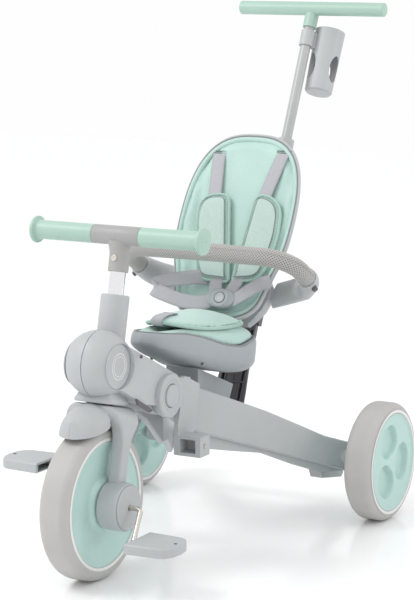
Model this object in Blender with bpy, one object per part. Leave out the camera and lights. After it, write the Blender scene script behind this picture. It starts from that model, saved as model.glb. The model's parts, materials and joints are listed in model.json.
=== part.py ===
"""Child's folding push tricycle: frame, steering, wheels, seat, safety bar and push handle, in metres, +Z up.

The front of the tricycle faces -Y and its left side is +X. The pieces are drawn from a point on the floor a
little ahead of the middle, and each one is then moved by MIDDLE.
"""

from math import cos, pi, radians, sin, sqrt

import bmesh
import bpy
from mathutils import Matrix, Vector

GAP = 0.0003  # clearance between touching pieces
MIDDLE = Vector((0, -0.01705, 0))  # from the drawing's origin to the middle of the object's length

# Wheels
FRONT_WHEEL = Vector((0, -0.32, 0.12))
FRONT_RADIUS = 0.12
REAR_RADIUS = 0.1008
REAR_AXLE = Vector((0, 0.2138, REAR_RADIUS))
REAR_TRACK_HALF = 0.2419
WHEEL_STEPS = 32
DISC_STEPS = 24
AXLE_RADIUS = 0.006
BORE_RADIUS = 0.0064

# Steering: everything that turns is drawn along the raked axis through the front wheel's centre
RAKE = radians(12.8)
STEER_UP = Vector((0, sin(RAKE), cos(RAKE)))
STEER_FRONT = Vector((0, -cos(RAKE), sin(RAKE)))
CROWN_LOW = 0.129
CROWN_TOP = 0.152
LEG_IN = 0.0287
LEG_OUT = 0.0505
CROWN_FACE = 0.0368
FENDER_LONG = 0.0532
FENDER_HALF = 0.0375
DRUM_RADIUS = 0.0375
DRUM_OUT = 0.0635
STEERER_RADIUS = 0.0145
STEM_RADIUS = 0.0125
HEAD_TUBE_RADIUS = 0.0225
HEAD_TUBE_TOP = 0.322
CLAMP_LOW = 0.357
BAR_UP = 0.4132
BAR_FRONT = 0.0100
BAR_HALF = 0.1467
GRIP_RADIUS = 0.0150
FLANGE_RADIUS = 0.0214

# Crank and pedals
CRANK_RADIUS = 0.0038
CRANK_X = 0.0880
CRANK_ARM = Vector((0, -0.035, -0.042))
PEDAL_IN = 0.0990
PEDAL_LONG = 0.0790
PEDAL_DEEP = 0.0400
PEDAL_THICK = 0.0160

# Head ball, side cheeks and fold hub
BALL = Vector((0, -0.2985, 0.3338))
BALL_RADIUS = 0.0527
HUB = Vector((0, -0.189, 0.270))
CHEEK_RADIUS = 0.0375
CHEEK_IN = 0.0552
CHEEK_OUT = 0.0640
CAP_RADIUS = 0.0350
CAP_BED = 0.0365
CAP_Y = -0.3040
SLOT_REACH = 0.0365

# Rear arms: the outer face leaves the hub parallel to the middle, then spreads
ARM_HUB_OUT = 0.0450
ARM_THICK = 0.0190
SPREAD_START = -0.060
SPREAD = 0.5
ARM_END_RADIUS = 0.0260
ARM_HUB_RADIUS = 0.0330
BEAM_HALF = 0.1560

# Rear post and push handle: one line leaning back
POST_FOOT = Vector((0, 0.1245, 0.180))
POST_LEAN = radians(24.6)
POST_UP = Vector((0, sin(POST_LEAN), cos(POST_LEAN)))
POST_BACK = Vector((0, cos(POST_LEAN), -sin(POST_LEAN)))
POST_TUBE_RADIUS = 0.0125
POST_TUBE_TOP = 0.4927
POLE_RADIUS = 0.0092
POLE_LOW = 0.275
SOCKET_LOW = 0.7030
TEE = Vector((0, 0.4278, 0.8528))
TEE_RADIUS = 0.0122
TEE_HALF = 0.1420
CUP_REACH = 0.0420
CUP_TURN = radians(52)
CLIP_LOW = 0.668
CUP_TOP = 0.709
CUP_LOW = 0.592
CUP_TOP_RADIUS = 0.0270
CUP_LOW_RADIUS = 0.0245

# Backrest: x across, s up the back, d behind the plane of the rim
RECLINE = radians(28)
BACK_ORIGIN = Vector((0, 0.111, 0.450))
BACK_UP = Vector((0, sin(RECLINE), cos(RECLINE)))
BACK_DEEP = Vector((0, cos(RECLINE), -sin(RECLINE)))
BACK_HALF = 0.110
BACK_WIDEST = 0.060
BACK_TOP = 0.163
RECLINE_PIVOT = POST_FOOT + 0.205 * POST_UP - 0.034 * POST_BACK
BEAM_S = -0.045
BEAM_D = 0.062
BEAM_END = 0.0755

# Safety bar: x across, t back along its sloping plane
BAR_SLOPE = radians(32)
BAR_ORIGIN = Vector((0, 0.029, 0.465))
BAR_BACK = Vector((0, cos(BAR_SLOPE), -sin(BAR_SLOPE)))
BAR_DOWN = Vector((0, -sin(BAR_SLOPE), -cos(BAR_SLOPE)))
SAFETY_HALF = 0.160
SAFETY_BEND = 0.050
SAFETY_RADIUS = 0.0152
SAFETY_END = 0.075
SPIGOT_RADIUS = 0.0080
ELBOW_RADIUS = 0.0190

# Saddle: x across, g rearward along its slope, h up from the parting line
SADDLE_SLOPE = radians(15)
SADDLE_ORIGIN = Vector((0, -0.030, 0.3129))
SADDLE_REAR = Vector((0, cos(SADDLE_SLOPE), -sin(SADDLE_SLOPE)))
SADDLE_UP = Vector((0, sin(SADDLE_SLOPE), cos(SADDLE_SLOPE)))

FINISHES = {
    "grey_plastic": ((0.60, 0.62, 0.63), 0.45, 0.0),
    "warm_grey_plastic": ((0.55, 0.54, 0.52), 0.50, 0.0),
    "dark_plastic": ((0.22, 0.21, 0.22), 0.60, 0.0),
    "mint_plastic": ((0.52, 0.78, 0.70), 0.45, 0.0),
    "mint_fabric": ((0.58, 0.84, 0.75), 0.85, 0.0),
    "grey_foam": ((0.46, 0.45, 0.43), 0.90, 0.0),
    "tyre": ((0.52, 0.51, 0.51), 0.70, 0.0),
    "steel": ((0.62, 0.58, 0.52), 0.30, 1.0),
    "chrome": ((0.80, 0.80, 0.82), 0.12, 1.0),
    "grey_paint": ((0.58, 0.58, 0.57), 0.35, 0.0),
}
SIDES = (("left", 1), ("right", -1))


def clear_scene():
    for obj in list(bpy.data.objects):
        bpy.data.objects.remove(obj, do_unlink=True)


def finish(name):
    found = bpy.data.materials.get(name)
    if found:
        return found
    colour, roughness, metallic = FINISHES[name]
    made = bpy.data.materials.new(name)
    made.use_nodes = True
    shader = made.node_tree.nodes["Principled BSDF"]
    shader.inputs["Base Color"].default_value = (*colour, 1)
    shader.inputs["Roughness"].default_value = roughness
    shader.inputs["Metallic"].default_value = metallic
    return made


def new_object(name, points, faces, finish_name, origin=(0, 0, 0)):
    """An object with its mesh measured from origin, which is a point on its joint's axis."""
    origin = Vector(origin)
    work = bmesh.new()
    corners = [work.verts.new(Vector(p) - origin) for p in points]
    for face in faces:
        work.faces.new([corners[i] for i in face])
    bmesh.ops.recalc_face_normals(work, faces=work.faces)
    mesh = bpy.data.meshes.new(name)
    work.to_mesh(mesh)
    work.free()
    mesh.shade_smooth()
    mesh.set_sharp_from_angle(angle=radians(35))
    mesh.materials.append(finish(finish_name))
    obj = bpy.data.objects.new(name, mesh)
    obj.location = origin + MIDDLE
    bpy.context.scene.collection.objects.link(obj)
    return obj


def loft(name, rings, finish_name, origin=(0, 0, 0), closed=False):
    """Rings of equal length joined in order. Closed joins the last ring to the first, else both ends are capped."""
    count = len(rings[0])
    points = [p for ring in rings for p in ring]
    faces = []
    spans = len(rings) if closed else len(rings) - 1
    for row in range(spans):
        here = row * count
        there = (row + 1) % len(rings) * count
        for i in range(count):
            j = (i + 1) % count
            faces.append((here + i, here + j, there + j, there + i))
    if not closed:
        faces.append(tuple(range(count)))
        faces.append(tuple(range(len(points) - count, len(points))))
    return new_object(name, points, faces, finish_name, origin)


def turned(name, profile, centre, axis, steps, finish_name, origin=(0, 0, 0), ring=False, flats=False):
    """(radius, height) points turned about an axis. A ring's profile is a closed loop round a bore.

    With flats, a radius is measured to the middle of each flat, and one flat faces straight down.
    """
    axis = Vector(axis).normalized()
    down = Vector((0, 0, -1)) if abs(axis.z) < 0.9 else Vector((1, 0, 0))
    first = (down - axis * down.dot(axis)).normalized()
    second = axis.cross(first)
    grow = 1 / cos(pi / steps) if flats else 1
    rings = []
    for radius, height in profile:
        ring_points = []
        for i in range(steps):
            angle = 2 * pi * (i + 0.5) / steps
            around = cos(angle) * first + sin(angle) * second
            ring_points.append(Vector(centre) + height * axis + radius * grow * around)
        rings.append(ring_points)
    return loft(name, rings, finish_name, origin, closed=ring)


def slab(name, outline, place, near, far, finish_name, origin=(0, 0, 0)):
    """A flat outline of (a, b) points given a thickness: place(a, b, c) gives the point at depth c."""
    rings = [[place(a, b, depth) for a, b in outline] for depth in (near, far)]
    return loft(name, rings, finish_name, origin)


def tube(name, path, radii, sides, finish_name, origin=(0, 0, 0)):
    """A round bar carried along a path, turning with it."""
    path = [Vector(p) for p in path]
    if not isinstance(radii, (list, tuple)):
        radii = [radii] * len(path)
    rings = []
    side = None
    for i, point in enumerate(path):
        before = path[max(i - 1, 0)]
        after = path[min(i + 1, len(path) - 1)]
        along = (after - before).normalized()
        if side is None:
            helper = Vector((0, 0, 1)) if abs(along.z) < 0.9 else Vector((1, 0, 0))
            side = along.cross(helper).normalized()
        side = (side - along * side.dot(along)).normalized()
        other = along.cross(side)
        rings.append(
            [
                point + radii[i] * (cos(2 * pi * k / sides) * side + sin(2 * pi * k / sides) * other)
                for k in range(sides)
            ]
        )
    return loft(name, rings, finish_name, origin)


def helper_of(obj):
    obj.hide_render = True
    obj.display_type = "WIRE"


def combine(obj, others, operation):
    for other in others:
        change = obj.modifiers.new(operation.title(), "BOOLEAN")
        change.operation = operation
        change.solver = "EXACT"
        change.object = other
        helper_of(other)
    return obj


def join(obj, *others):
    return combine(obj, others, "UNION")


def cut(obj, *others):
    return combine(obj, others, "DIFFERENCE")


def common(obj, *others):
    return combine(obj, others, "INTERSECT")


def rod(name, start, end, radius, steps=16, finish_name="steel", origin=(0, 0, 0)):
    start = Vector(start)
    along = Vector(end) - start
    profile = [(radius, 0), (radius, along.length)]
    return turned(name, profile, start, along, steps, finish_name, origin)


def block(name, place, low, high, finish_name="grey_plastic", origin=(0, 0, 0)):
    """A box between two corners given in the coordinates of place(a, b, c)."""
    outline = [(low[0], low[1]), (high[0], low[1]), (high[0], high[1]), (low[0], high[1])]
    return slab(name, outline, place, low[2], high[2], finish_name, origin)


def rounded(obj, width, segments=2, angle=35):
    bevel = obj.modifiers.new("Bevel", "BEVEL")
    bevel.width = width
    bevel.segments = segments
    bevel.limit_method = "ANGLE"
    bevel.angle_limit = radians(angle)
    return obj


def smooth_through(knots, steps):
    """A Catmull-Rom curve through knots of any dimension."""
    knots = [Vector(k) for k in knots]
    out = []
    for i in range(len(knots) - 1):
        a = knots[max(i - 1, 0)]
        b = knots[i]
        c = knots[i + 1]
        d = knots[min(i + 2, len(knots) - 1)]
        for k in range(steps):
            t = k / steps
            out.append(
                0.5 * (2 * b + (c - a) * t + (2 * a - 5 * b + 4 * c - d) * t**2 + (3 * b - a - 3 * c + d) * t**3)
            )
    out.append(knots[-1])
    return out


def side_view(y, z, x):
    return Vector((x, y, z))


def steer(x, front, up):
    return FRONT_WHEEL + x * Vector((1, 0, 0)) + front * STEER_FRONT + up * STEER_UP


def steer_side(front, up, x):
    return steer(x, front, up)


def post(x, deep, up):
    return POST_FOOT + x * Vector((1, 0, 0)) + deep * POST_BACK + up * POST_UP


def back(x, s, d):
    return BACK_ORIGIN + x * Vector((1, 0, 0)) + s * BACK_UP + d * BACK_DEEP


def back_side(d, s, x):
    return back(x, s, d)


def saddle(x, g, h):
    return SADDLE_ORIGIN + x * Vector((1, 0, 0)) + g * SADDLE_REAR + h * SADDLE_UP


def safety(x, t, down=0):
    return BAR_ORIGIN + x * Vector((1, 0, 0)) + t * BAR_BACK + down * BAR_DOWN


# Wheels


def make_wheel(label, centre, radius, half, lip, boss, bore):
    """A solid tyre on a one-piece wheel body: lip, dished disc and hub boss, the same on both sides."""
    seat = lip - 0.0072
    side = [
        (lip - 0.0009, half - 0.0004),
        (lip + 0.0050, half),
        (radius - 0.0050, half - 0.0030),
        (radius, half - 0.0140),
    ]
    outer = side + [(r, -h) for r, h in reversed(side)]
    tyre_loop = outer + [(seat, -(half - 0.0045)), (seat, half - 0.0045)]
    turned(f"{label}_tyre", tyre_loop, centre, (1, 0, 0), WHEEL_STEPS, "tyre", centre, True, True)
    face = [
        (bore, boss),
        (0.0370, boss),
        (0.0430, half - 0.0085),
        (lip - 0.0200, half - 0.0085),
        (lip - 0.0085, half - 0.0012),
        (lip - 0.0022, half - 0.0006),
        (seat - 0.0007, half - 0.0044),
    ]
    loop = face + [(r, -h) for r, h in reversed(face)]
    turned(f"{label}_wheel_disc", loop, centre, (1, 0, 0), DISC_STEPS, "mint_plastic", centre, True)


def make_wheels():
    make_wheel("front", FRONT_WHEEL, FRONT_RADIUS, 0.0252, 0.0994, 0.0275, CRANK_RADIUS + 0.0004)
    for label, sign in SIDES:
        centre = REAR_AXLE + Vector((sign * REAR_TRACK_HALF, 0, 0))
        make_wheel(f"rear_{label}", centre, REAR_RADIUS, 0.0249, 0.0851, 0.0240, BORE_RADIUS)


# Crank and pedals


def make_crank():
    """One bent rod: axle through the wheel, two opposite arms and two pedal spindles."""
    path = [FRONT_WHEEL + Vector((0.02, 0, 0))]
    path.append(FRONT_WHEEL + Vector((CRANK_X - 0.006, 0, 0)))
    path.append(FRONT_WHEEL + Vector((CRANK_X - 0.001, 0, 0)) + 0.06 * CRANK_ARM)
    path.append(FRONT_WHEEL + Vector((CRANK_X + 0.005, 0, 0)) + 0.94 * CRANK_ARM)
    path.append(FRONT_WHEEL + Vector((CRANK_X + 0.009, 0, 0)) + CRANK_ARM)
    path.append(FRONT_WHEEL + Vector((PEDAL_IN + PEDAL_LONG - 0.012, 0, 0)) + CRANK_ARM)
    half_turn = Matrix(((-1, 0, 0), (0, -1, 0), (0, 0, -1)))
    other = [FRONT_WHEEL + half_turn @ (p - FRONT_WHEEL) for p in path]
    tube("crank", list(reversed(other)) + path, CRANK_RADIUS, 12, "steel", FRONT_WHEEL)


def make_pedals():
    """D-shaped blocks, hollow from the inner end, free to turn on the crank's spindles."""
    for label, sign in SIDES:
        centre = FRONT_WHEEL + sign * CRANK_ARM

        def place(x, y, z, centre=centre, sign=sign):
            return centre + Vector((sign * (PEDAL_IN + x), y, z))

        reach = PEDAL_LONG - 0.020
        outline = [(0, -PEDAL_DEEP), (reach, -PEDAL_DEEP * 0.92)]
        outline += [
            (reach + 0.020 * cos(radians(a)), PEDAL_DEEP * 0.92 * sin(radians(a))) for a in range(-60, 61, 30)
        ]
        outline += [(reach, PEDAL_DEEP * 0.92), (0, PEDAL_DEEP)]
        half = PEDAL_THICK / 2
        pedal = slab(f"pedal_{label}", outline, place, -half, half, "warm_grey_plastic", centre)
        rounded(pedal, 0.002, 1)
        hollow = block(
            f"pedal_hollow_{label}",
            place,
            (-0.01, -PEDAL_DEEP + 0.004, -half + 0.003),
            (0.020, PEDAL_DEEP - 0.004, half - 0.003),
        )
        bore_end = centre + Vector((sign * (PEDAL_IN + PEDAL_LONG - 0.008), 0, 0))
        bore_start = centre + Vector((sign * (PEDAL_IN - 0.01), 0, 0))
        bore = rod(f"pedal_bore_{label}", bore_start, bore_end, CRANK_RADIUS + 0.0004)
        cut(pedal, hollow, bore)


# Steering


def make_fork():
    """Two moulded halves meeting in the middle: crown, leg and the round housing that carries the crank."""
    for label, sign in SIDES:
        def front(x, up, f, sign=sign):
            return steer(sign * x, f, up)

        def side(f, up, x, sign=sign):
            return steer(sign * x, f, up)

        shape = [
            (GAP / 2, CROWN_LOW),
            (LEG_IN - 0.004, CROWN_LOW),
            (LEG_IN, CROWN_LOW - 0.006),
            (LEG_IN, 0.0),
            (LEG_OUT, 0.0),
            (LEG_OUT + 0.001, 0.115),
            (LEG_OUT - 0.002, 0.134),
            (LEG_OUT - 0.011, 0.147),
            (LEG_OUT - 0.022, CROWN_TOP),
            (GAP / 2, CROWN_TOP),
        ]
        half = slab(f"fork_{label}", shape, front, -0.05, 0.05, "grey_plastic", FRONT_WHEEL)
        profile = [
            (-0.0245, -0.02),
            (0.0245, -0.02),
            (0.0250, 0.030),
            (0.0320, 0.110),
            (0.0365, 0.135),
            (0.0365, 0.170),
            (-0.0340, 0.170),
            (-0.0340, 0.145),
            (-0.0300, 0.110),
            (-0.0245, 0.030),
        ]
        outline = slab(f"fork_outline_{label}", profile, side, -0.01, 0.08, "grey_plastic")
        plan = [(-0.001, 0.0366), (0.0240, 0.0366), (0.0400, 0.0300), (0.0500, 0.0180), (0.0515, 0.0120)]
        plan += [(0.0515, -0.0240), (0.0450, -0.0340), (0.0300, -0.0345), (-0.001, -0.0345)]

        def above(x, f, up, sign=sign):
            return steer(sign * x, f, up)

        footprint = slab(f"fork_plan_{label}", plan, above, -0.05, 0.20, "grey_plastic")
        common(half, outline, footprint)
        drum_start = FRONT_WHEEL + Vector((sign * LEG_IN, 0, 0))
        drum_end = FRONT_WHEEL + Vector((sign * DRUM_OUT, 0, 0))
        drum = rod(f"fork_drum_{label}", drum_start, drum_end, DRUM_RADIUS, 32)
        axle_hole = rod(
            f"fork_axle_hole_{label}",
            FRONT_WHEEL,
            FRONT_WHEEL + Vector((sign * 0.09, 0, 0)),
            CRANK_RADIUS + 0.0005,
        )
        socket = rod(f"fork_socket_{label}", steer(0, 0, 0.1325), steer(0, 0, 0.2), STEERER_RADIUS + 0.0004, 24)
        join(half, drum)
        cut(half, axle_hole, socket)
        cap_start = DRUM_OUT + GAP
        turned(
            f"hub_cover_{label}",
            [(CRANK_RADIUS + 0.0005, 0), (0.0352, 0), (0.0340, 0.0030), (CRANK_RADIUS + 0.0005, 0.0032)],
            FRONT_WHEEL + Vector((sign * cap_start, 0, 0)),
            (sign, 0, 0),
            24,
            "grey_plastic",
            FRONT_WHEEL,
            True,
        )


def make_fender():
    """A beak over the tyre: half-round sections that shrink and drop towards the tip."""
    stations = 8
    across = 12
    wall = 0.0026
    rings = []
    for i in range(stations + 1):
        v = i / stations * 0.985
        front = CROWN_FACE + FENDER_LONG * v
        half = FENDER_HALF * sqrt(1 - v**2.5)
        top = CROWN_TOP - 0.0312 * v**1.5
        rim = 0.1186 - 0.0228 * v**0.8
        rise = max(top - rim, 0.004)
        loop = []
        for k in range(across + 1):
            angle = pi * k / across
            loop.append(steer(half * cos(angle), front, rim + rise * sin(angle) ** 0.85))
        inner_half = max(half - wall, 0.0008)
        inner_rise = max(rise - wall, 0.0015)
        for k in range(across, -1, -1):
            angle = pi * k / across
            loop.append(steer(inner_half * cos(angle), front, rim + inner_rise * sin(angle) ** 0.85))
        rings.append(loop)
    loft("front_fender", rings, "grey_plastic", FRONT_WHEEL)


def make_steerer():
    turned(
        "steerer_tube",
        [(0.0131, 0), (STEERER_RADIUS, 0), (STEERER_RADIUS, 0.184), (0.0131, 0.184)],
        steer(0, 0, 0.1330),
        STEER_UP,
        24,
        "steel",
        FRONT_WHEEL,
        True,
    )


def make_handlebar():
    """Chromed stem sliding in the steerer, its clamp, the bar and two flanged grips."""
    bar = steer(0, BAR_FRONT, BAR_UP)
    rod("stem_tube", steer(0, 0, 0.200), steer(0, 0, 0.394), STEM_RADIUS, 24, "chrome", FRONT_WHEEL)
    clamp = rod("stem_clamp", steer(0, 0, CLAMP_LOW), steer(0, 0.002, BAR_UP), 0.0160, 24, "grey_plastic", bar)
    band = rod("stem_clamp_band", bar - Vector((0.019, 0, 0)), bar + Vector((0.019, 0, 0)), 0.0180, 24)
    stem_bore = rod("stem_bore", steer(0, 0, CLAMP_LOW - 0.01), steer(0, 0, 0.3944), STEM_RADIUS + 0.0004, 24)
    bar_bore = rod("bar_bore", bar - Vector((0.03, 0, 0)), bar + Vector((0.03, 0, 0)), 0.0149, 24)
    button_hole = rod("button_hole", steer(0, 0.0132, 0.378), steer(0, 0.03, 0.378), 0.0056)
    join(clamp, band)
    cut(clamp, stem_bore, bar_bore, button_hole)
    turned(
        "stem_button",
        [(0.0052, 0), (0.0052, 0.0025), (0.0040, 0.0035)],
        steer(0, 0.0147, 0.378),
        STEER_FRONT,
        16,
        "steel",
        steer(0, 0.0147, 0.378),
    )
    profile = [
        (0.0110, -0.1410),
        (0.0110, -0.0418),
        (0.0145, -0.0414),
        (0.0145, 0.0414),
        (0.0110, 0.0418),
        (0.0110, 0.1410),
    ]
    turned("handlebar", profile, bar, (1, 0, 0), 24, "grey_paint", bar)
    for label, sign in SIDES:
        grip = [
            (0.0115, 0.0422),
            (GRIP_RADIUS, 0.0422),
            (GRIP_RADIUS, 0.1445),
            (FLANGE_RADIUS, 0.1462),
            (FLANGE_RADIUS, 0.1510),
            (FLANGE_RADIUS - 0.0030, 0.1532),
            (0.0115, 0.1540),
        ]
        made = turned(f"grip_{label}", grip, bar, (sign, 0, 0), 20, "mint_plastic", bar, True)
        plug = rod(
            f"grip_end_{label}",
            bar + Vector((sign * 0.1416, 0, 0)),
            bar + Vector((sign * 0.1545, 0, 0)),
            0.0125,
            20,
        )
        join(made, plug)


# Frame


def cheek_out(y):
    """The outer face of the head shell, which flares from the ball to the fold hub."""
    share = (y - BALL.y) / (HUB.y - BALL.y)
    return BALL_FACE + (CHEEK_OUT - BALL_FACE) * min(max(share, 0), 1) ** 0.75


BALL_FACE = 0.0385


def make_head_shells():
    """Left and right halves: half of the head ball and the cheek that reaches back to the fold hub."""
    along = (HUB - BALL).normalized()
    lean = along.cross(Vector((1, 0, 0)))
    length = (HUB - BALL).length
    for label, sign in SIDES:
        outline = [(-0.010, 0.034), (length, CHEEK_RADIUS)]
        for turn in range(20, 180, 20):
            around = radians(turn)
            outline.append((length + CHEEK_RADIUS * sin(around), CHEEK_RADIUS * cos(around)))
        outline += [(length, -CHEEK_RADIUS), (-0.010, -0.034)]
        rings = []
        for row in range(4):
            ring = []
            for a, b in outline:
                edge = (0.0, 0.0, 0.0025, 0.0045)[row]
                shrink = 1 - edge * 0.35 / CHEEK_RADIUS
                point = BALL + along * (length + (a - length) * (shrink if a > length else 1)) + lean * b * shrink
                outer = cheek_out(point.y)
                depth = (GAP / 2, outer - 0.0045, outer - 0.0020, outer)[row]
                ring.append(Vector((sign * depth, point.y, point.z)))
            rings.append(ring)
        shell = loft(f"head_shell_{label}", rings, "grey_plastic")
        ball = turned(
            f"head_ball_{label}",
            [
                (BALL_RADIUS * cos(radians(a)), BALL_RADIUS * sin(radians(a)))
                for a in (0.0, 10, 20, 30, 40, 47)
            ],
            BALL + Vector((sign * 0.0006, 0, 0)),
            (sign, 0, 0),
            28,
            "grey_plastic",
        )
        slot_low = BALL + along * (length - SLOT_REACH)

        def slot_place(a, b, c, sign=sign, slot_low=slot_low):
            return slot_low + along * a + lean * b + Vector((sign * c, 0, 0))

        slot = block(f"head_slot_{label}", slot_place, (0, -0.06, -0.01), (0.12, 0.06, CHEEK_IN))
        bore = rod(f"head_bore_{label}", steer(0, 0, 0.10), steer(0, 0, 0.36), HEAD_TUBE_RADIUS + 0.0004, 24)
        below = slab(
            f"head_below_{label}",
            [(-0.09, 0.10), (0.09, 0.10), (0.09, 0.1580), (-0.09, 0.1580)],
            steer_side,
            -0.08,
            0.08,
            "grey_plastic",
        )
        pivot_start = HUB + Vector((sign * 0.0500, 0, 0))
        pivot = rod(f"head_pivot_{label}", pivot_start, HUB + Vector((sign * 0.0580, 0, 0)), BORE_RADIUS)
        button = rod(
            f"head_button_hole_{label}",
            HUB + Vector((sign * 0.0600, 0, 0)),
            HUB + Vector((sign * 0.08, 0, 0)),
            0.0185,
            24,
        )
        cap_low = Vector((sign * CAP_BED, CAP_Y, BALL.z))
        recess = rod(f"head_recess_{label}", cap_low, cap_low + Vector((sign * 0.03, 0, 0)), CAP_RADIUS + GAP, 24)
        join(shell, ball)
        cut(shell, slot, bore, below, pivot, button, recess)
        turned(
            f"head_cap_{label}",
            [(CAP_RADIUS, 0), (CAP_RADIUS, 0.0018), (CAP_RADIUS - 0.002, 0.0030), (0.0001, 0.0036)],
            cap_low + Vector((sign * GAP, 0, 0)),
            (sign, 0, 0),
            24,
            "grey_plastic",
        )
        turned(
            f"fold_button_{label}",
            [(0.0180, 0), (0.0180, 0.0040), (0.0165, 0.0055), (0.0120, 0.0062), (0.0001, 0.0064)],
            HUB + Vector((sign * 0.0625, 0, 0)),
            (sign, 0, 0),
            24,
            "grey_plastic",
            HUB + Vector((sign * 0.0625, 0, 0)),
        )


def make_head_tube():
    turned(
        "head_tube",
        [
            (0.0158, 0),
            (HEAD_TUBE_RADIUS, 0),
            (HEAD_TUBE_RADIUS, HEAD_TUBE_TOP - 0.168),
            (HEAD_TUBE_RADIUS - 0.0020, HEAD_TUBE_TOP - 0.166),
            (0.0158, HEAD_TUBE_TOP - 0.166),
        ],
        steer(0, 0, 0.166),
        STEER_UP,
        24,
        "grey_plastic",
        (0, 0, 0),
        True,
    )


def make_spine():
    """Seat base: hub barrel, sloping seat box and the tongue that carries the post bracket."""
    low = [(-0.100, 0.262), (0.060, 0.215), (0.088, 0.204), (0.090, 0.176), (0.050, 0.172), (-0.050, 0.196)]
    low += [(-0.150, 0.238)]
    spine = slab("seat_base", low, side_view, -0.0250, 0.0250, "grey_plastic")
    barrel = rod("seat_base_barrel", HUB - Vector((0.0250, 0, 0)), HUB + Vector((0.0250, 0, 0)), 0.0300, 24)
    neck = slab(
        "seat_base_neck",
        [(-0.185, 0.292), (-0.090, 0.258), (-0.120, 0.224), (-0.200, 0.250)],
        side_view,
        -0.0250,
        0.0250,
        "grey_plastic",
    )
    box = slab(
        "seat_base_box",
        [(-0.042, 0.2845), (0.079, 0.2370), (0.063, 0.2080), (-0.042, 0.2300)],
        side_view,
        -0.0300,
        0.0300,
        "grey_plastic",
    )
    hole = rod("seat_base_hole", HUB - Vector((0.04, 0, 0)), HUB + Vector((0.04, 0, 0)), BORE_RADIUS)
    join(spine, barrel, neck, box)
    cut(spine, hole)
    rod("fold_axle", HUB - Vector((0.0575, 0, 0)), HUB + Vector((0.0575, 0, 0)), AXLE_RADIUS, 16)


def make_footrest_sockets():
    """Hangers on the fold axle that end in a block with a square socket and a sprung latch pin."""
    near = 0.0466
    far = 0.0546
    for label, sign in SIDES:
        def place(y, z, x, sign=sign):
            return Vector((sign * x, y, z))

        plate = [(-0.128, 0.290), (-0.0790, 0.2680), (-0.0960, 0.1970), (-0.1190, 0.1720)]
        plate += [(-0.1190, 0.1650), (-0.1510, 0.1650), (-0.1500, 0.2150)]
        hanger = slab(f"footrest_socket_{label}", plate, place, near, far, "warm_grey_plastic")
        ring = rod(
            f"footrest_ring_{label}",
            HUB + Vector((sign * near, 0, 0)),
            HUB + Vector((sign * far, 0, 0)),
            0.0300,
            24,
        )
        link = slab(
            f"footrest_link_{label}",
            [(-0.185, 0.295), (-0.110, 0.285), (-0.120, 0.240), (-0.185, 0.245)],
            place,
            near,
            far,
            "warm_grey_plastic",
        )
        body = slab(
            f"footrest_block_{label}",
            [(-0.1510, 0.1650), (-0.1200, 0.1650), (-0.1200, 0.1975), (-0.1510, 0.1975)],
            place,
            near,
            0.0950,
            "warm_grey_plastic",
        )
        hole = rod(f"footrest_hub_hole_{label}", HUB, HUB + Vector((sign * 0.07, 0, 0)), BORE_RADIUS)
        pocket = block(
            f"footrest_pocket_{label}",
            place,
            (-0.1600, 0.1705, 0.0580),
            (-0.1260, 0.1925, 0.0860),
        )
        pin_hole = rod(
            f"footrest_pin_hole_{label}",
            Vector((sign * 0.0700, -0.1360, 0.1815)),
            Vector((sign * 0.1000, -0.1360, 0.1815)),
            0.0036,
        )
        join(hanger, ring, link, body)
        cut(hanger, hole, pocket, pin_hole)
        start = Vector((sign * 0.0800, -0.1360, 0.1815))
        rod(f"latch_pin_{label}", start, start + Vector((sign * 0.0165, 0, 0)), 0.0030, 12, "steel", start)


def arm_outer_x(y):
    return ARM_HUB_OUT + SPREAD * max(y - SPREAD_START, 0)


ARM_LINE = (  # y, top, bottom of the outer face, bottom of the inner face
    (-0.150, 0.2925, 0.2270, 0.2270),
    (-0.110, 0.2790, 0.2050, 0.2040),
    (-0.060, 0.2575, 0.1815, 0.1560),
    (0.000, 0.2300, 0.1580, 0.1420),
    (0.060, 0.2020, 0.1350, 0.1290),
    (0.120, 0.1705, 0.1115, 0.1000),
    (0.170, 0.1435, 0.0925, 0.0790),
)


def arm_stations():
    """Slices from the hub to the wheel: round ends on the hub and axle, and the sloping strap between them."""
    rows = []
    for angle in (165, 145, 120, 90):
        y = HUB.y + ARM_HUB_RADIUS * cos(radians(angle))
        half = ARM_HUB_RADIUS * sin(radians(angle))
        rows.append((y, HUB.z + half, HUB.z - half, HUB.z - half))
    rows += list(ARM_LINE)
    for angle in (90, 62, 38, 16):
        y = REAR_AXLE.y + ARM_END_RADIUS * cos(radians(angle))
        half = ARM_END_RADIUS * sin(radians(angle))
        rows.append((y, REAR_AXLE.z + half, REAR_AXLE.z - half, REAR_AXLE.z - half))
    return rows


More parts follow.
